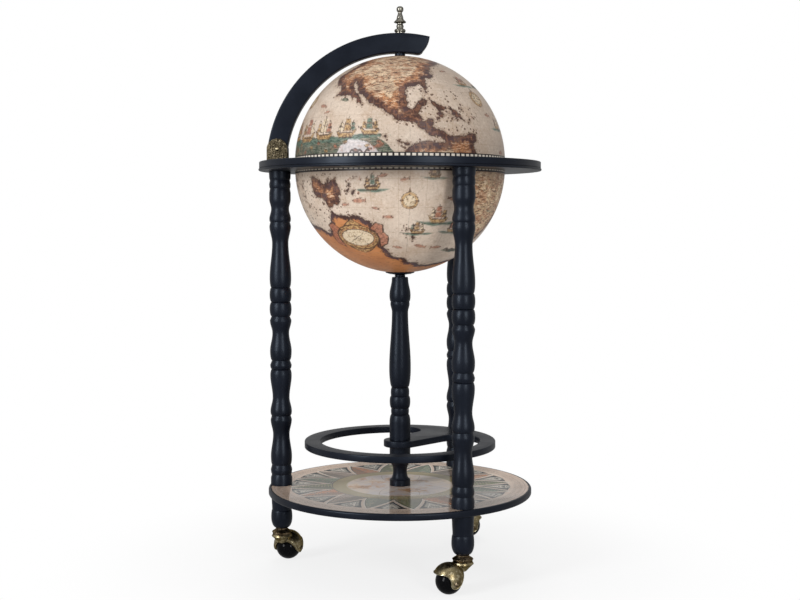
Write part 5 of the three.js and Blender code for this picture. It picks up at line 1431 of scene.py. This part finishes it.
def build_casters():
    hood, rims = hood_mesh(), hood_rims()
    collar = [
        (STEM_HOLE, 0), *rounded(13.9, 0.6, 0.6, -1, 0, 4), (14.9, 2.6), *rounded(15.0, 3.6, 0.7, -0.4, 0.6, 6),
        (13.4, 5.6), (11.8, 6.5), (10.5, 7.6), (9.8, 8.3), (9.4, 8.5), (9.4, 9.4), (9.1, 9.7), (STEM_HOLE, 9.7),
        (STEM_HOLE, 0),
    ]
    hub = math.asin(9 / BALL)
    side = BALL * math.cos(hub)
    ball = [(BALL * math.sin(a), -BALL * math.cos(a)) for a in (hub + (math.pi - 2 * hub) * k / 40 for k in range(41))]
    wheel = on_axle([(AXLE_HOLE, -side), *ball, (AXLE_HOLE, side), (AXLE_HOLE, -side)], 96)
    half = HOOD + AIR
    rivet = [(3.4, half), (2.8, half + 0.6), (1.6, half + 1.0), (0, half + 1.1)]
    pin = on_axle([*((r, -y) for r, y in rivet[::-1]), (2, -half), (2, half), *rivet], 32)
    for i in range(3):
        x, y = leg_place(i)
        n = i + 1
        put_solid(f"caster_collar_{n}", "disc", lathe(collar, 64, (x, y, COLLAR_BASE)), DARK_BRASS, "stand",
                  40)
        spot = (TO_METRES @ Matrix.Translation((x, y, 0)) @ Matrix.Rotation(CASTER_ANGLES[i], 4, "Z")
                @ Matrix.Translation((TRAIL, 0, BALL)))
        shell, trim, axle, roller = (moved(mesh.copy(), spot) for mesh in (hood, rims, pin, wheel))
        put_solid(f"caster_hood_{n}", "shell", shell, BRASS, f"caster_{n}", 34)
        put(f"caster_hood_{n}_rims", soften(trim), [RUBBED], f"caster_{n}", None)
        put_solid(f"caster_axle_{n}", "rivet", axle, DARK_BRASS, f"caster_{n}", 40)
        put_solid(f"caster_ball_{n}", "moulding", roller, GLOSS, f"wheel_{n}", 34)


def finish_hidden_parts():
    """Steel on the parts that are only seen from inside, from below or not at all."""
    fasteners = ("column_screw", "column_washer", "bowl_bolt", "bowl_washer", "pole_bolt", "pole_nut", "lid_washer")
    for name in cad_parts:
        if "stud" in name or "stem" in name or name in fasteners:
            put_finish(name, STEEL)


# ---- the room


def build_floor():
    """A pale floor that nearly vanishes to the camera and is grey in a mirror."""
    ground = bpy.data.meshes.new("floor")
    ground.from_pydata([(-9, -9, 0), (9, -9, 0), (9, 9, 0), (-9, 9, 0)], [], [(0, 1, 2, 3)])
    floor = linked("floor", ground)
    pale = Finish("pale_floor", (0.93, 0.93, 0.93), 0.9)
    reach = (pale.x * pale.x + pale.y * pale.y).math("SQRT")
    white, grey = (pale.node("Emission", {}, {"Color": (1, 1, 1), "Strength": glow}) for glow in (1.0, 0.4))
    seen, glossy = pale.ray_kinds()
    base = pale.node("MixShader", {}, {0: glossy, 1: Wire(pale, pale.shader.outputs[0]), 2: grey})
    share = seen * (0.8 + reach.over(0.2, 0.6) * 0.2)
    blend = pale.node("MixShader", {}, {0: share, 1: base, 2: white})
    pale.feed(pale.tree.nodes["Material Output"].inputs["Surface"], blend)
    ground.materials.append(pale.material)


def build_world(scene):
    """White to the camera, dimmer in a mirror, and dimmer still as light."""
    world = bpy.data.worlds.new("studio")
    scene.world = world
    world.use_nodes = True
    world.node_tree.nodes.clear()
    sky = Nodes(world.node_tree)
    light, sheen, backdrop = (
        sky.node("Background", {}, {"Color": (1, 1, 1), "Strength": strength}) for strength in (0.28, 0.45, 1.0))
    seen, glossy = sky.ray_kinds()
    unseen = sky.node("MixShader", {}, {0: glossy, 1: light, 2: sheen})
    both = sky.node("MixShader", {}, {0: seen, 1: unseen, 2: backdrop})
    sky.feed(sky.tree.nodes.new("ShaderNodeOutputWorld").inputs["Surface"], both)


def aim(thing, heading):
    """Turns a lamp or camera so that it looks along a line."""
    thing.rotation_euler = heading.to_track_quat("-Z", "Y").to_euler()


def lamp(name, place, target, wide, tall, power, tint=(1, 1, 1), mirrored=True):
    data = bpy.data.lights.new(name, "AREA")
    data.shape = "RECTANGLE"
    data.size, data.size_y = wide, tall
    data.energy = power
    data.color = tint
    lit = linked(name, data)
    lit.location = place
    lit.visible_glossy = mirrored
    aim(lit, Vector(target) - Vector(place))


def build_room():
    scene = bpy.context.scene
    scene.view_settings.view_transform = "Standard"
    build_floor()
    build_world(scene)
    lamp("key", (-1.86, -1.79, 1.15), (0, 0, 0.5), 0.7, 1.7, 47, (0.97, 0.985, 1.0))
    lamp("front", (1.1, -2.36, 1.0), (0, 0, 0.4), 0.5, 1.6, 26)
    lamp("top", (0.1, -0.2, 2.6), (0, 0, 0.4), 1.8, 1.8, 8)
    lamp("back", (0.1, 1.8, 1.8), (0, 0, 0.13), 1.2, 0.8, 15, mirrored=False)
    view = bpy.data.cameras.new("view")
    view.sensor_width = 36
    view.lens = CAMERA_LENS
    view.clip_end = 60
    camera = linked("view", view)
    camera.location = Vector(CAMERA_PLACE)
    heading = Vector((-camera.location.x, -camera.location.y, 0)).normalized()
    heading.z = -math.tan(math.radians(CAMERA_PITCH))
    aim(camera, heading)
    scene.camera = camera


build_room()
build_stand()
build_ring()
build_shelf()
build_bottle_ring()
build_column_top()
build_rack()
half_globe("bowl_shell", "stand", BOWL_RIM, -1)
half_globe("lid_shell", "lid", LID_RIM, 1)
build_arm()
build_hinge()
build_casters()
finish_hidden_parts()
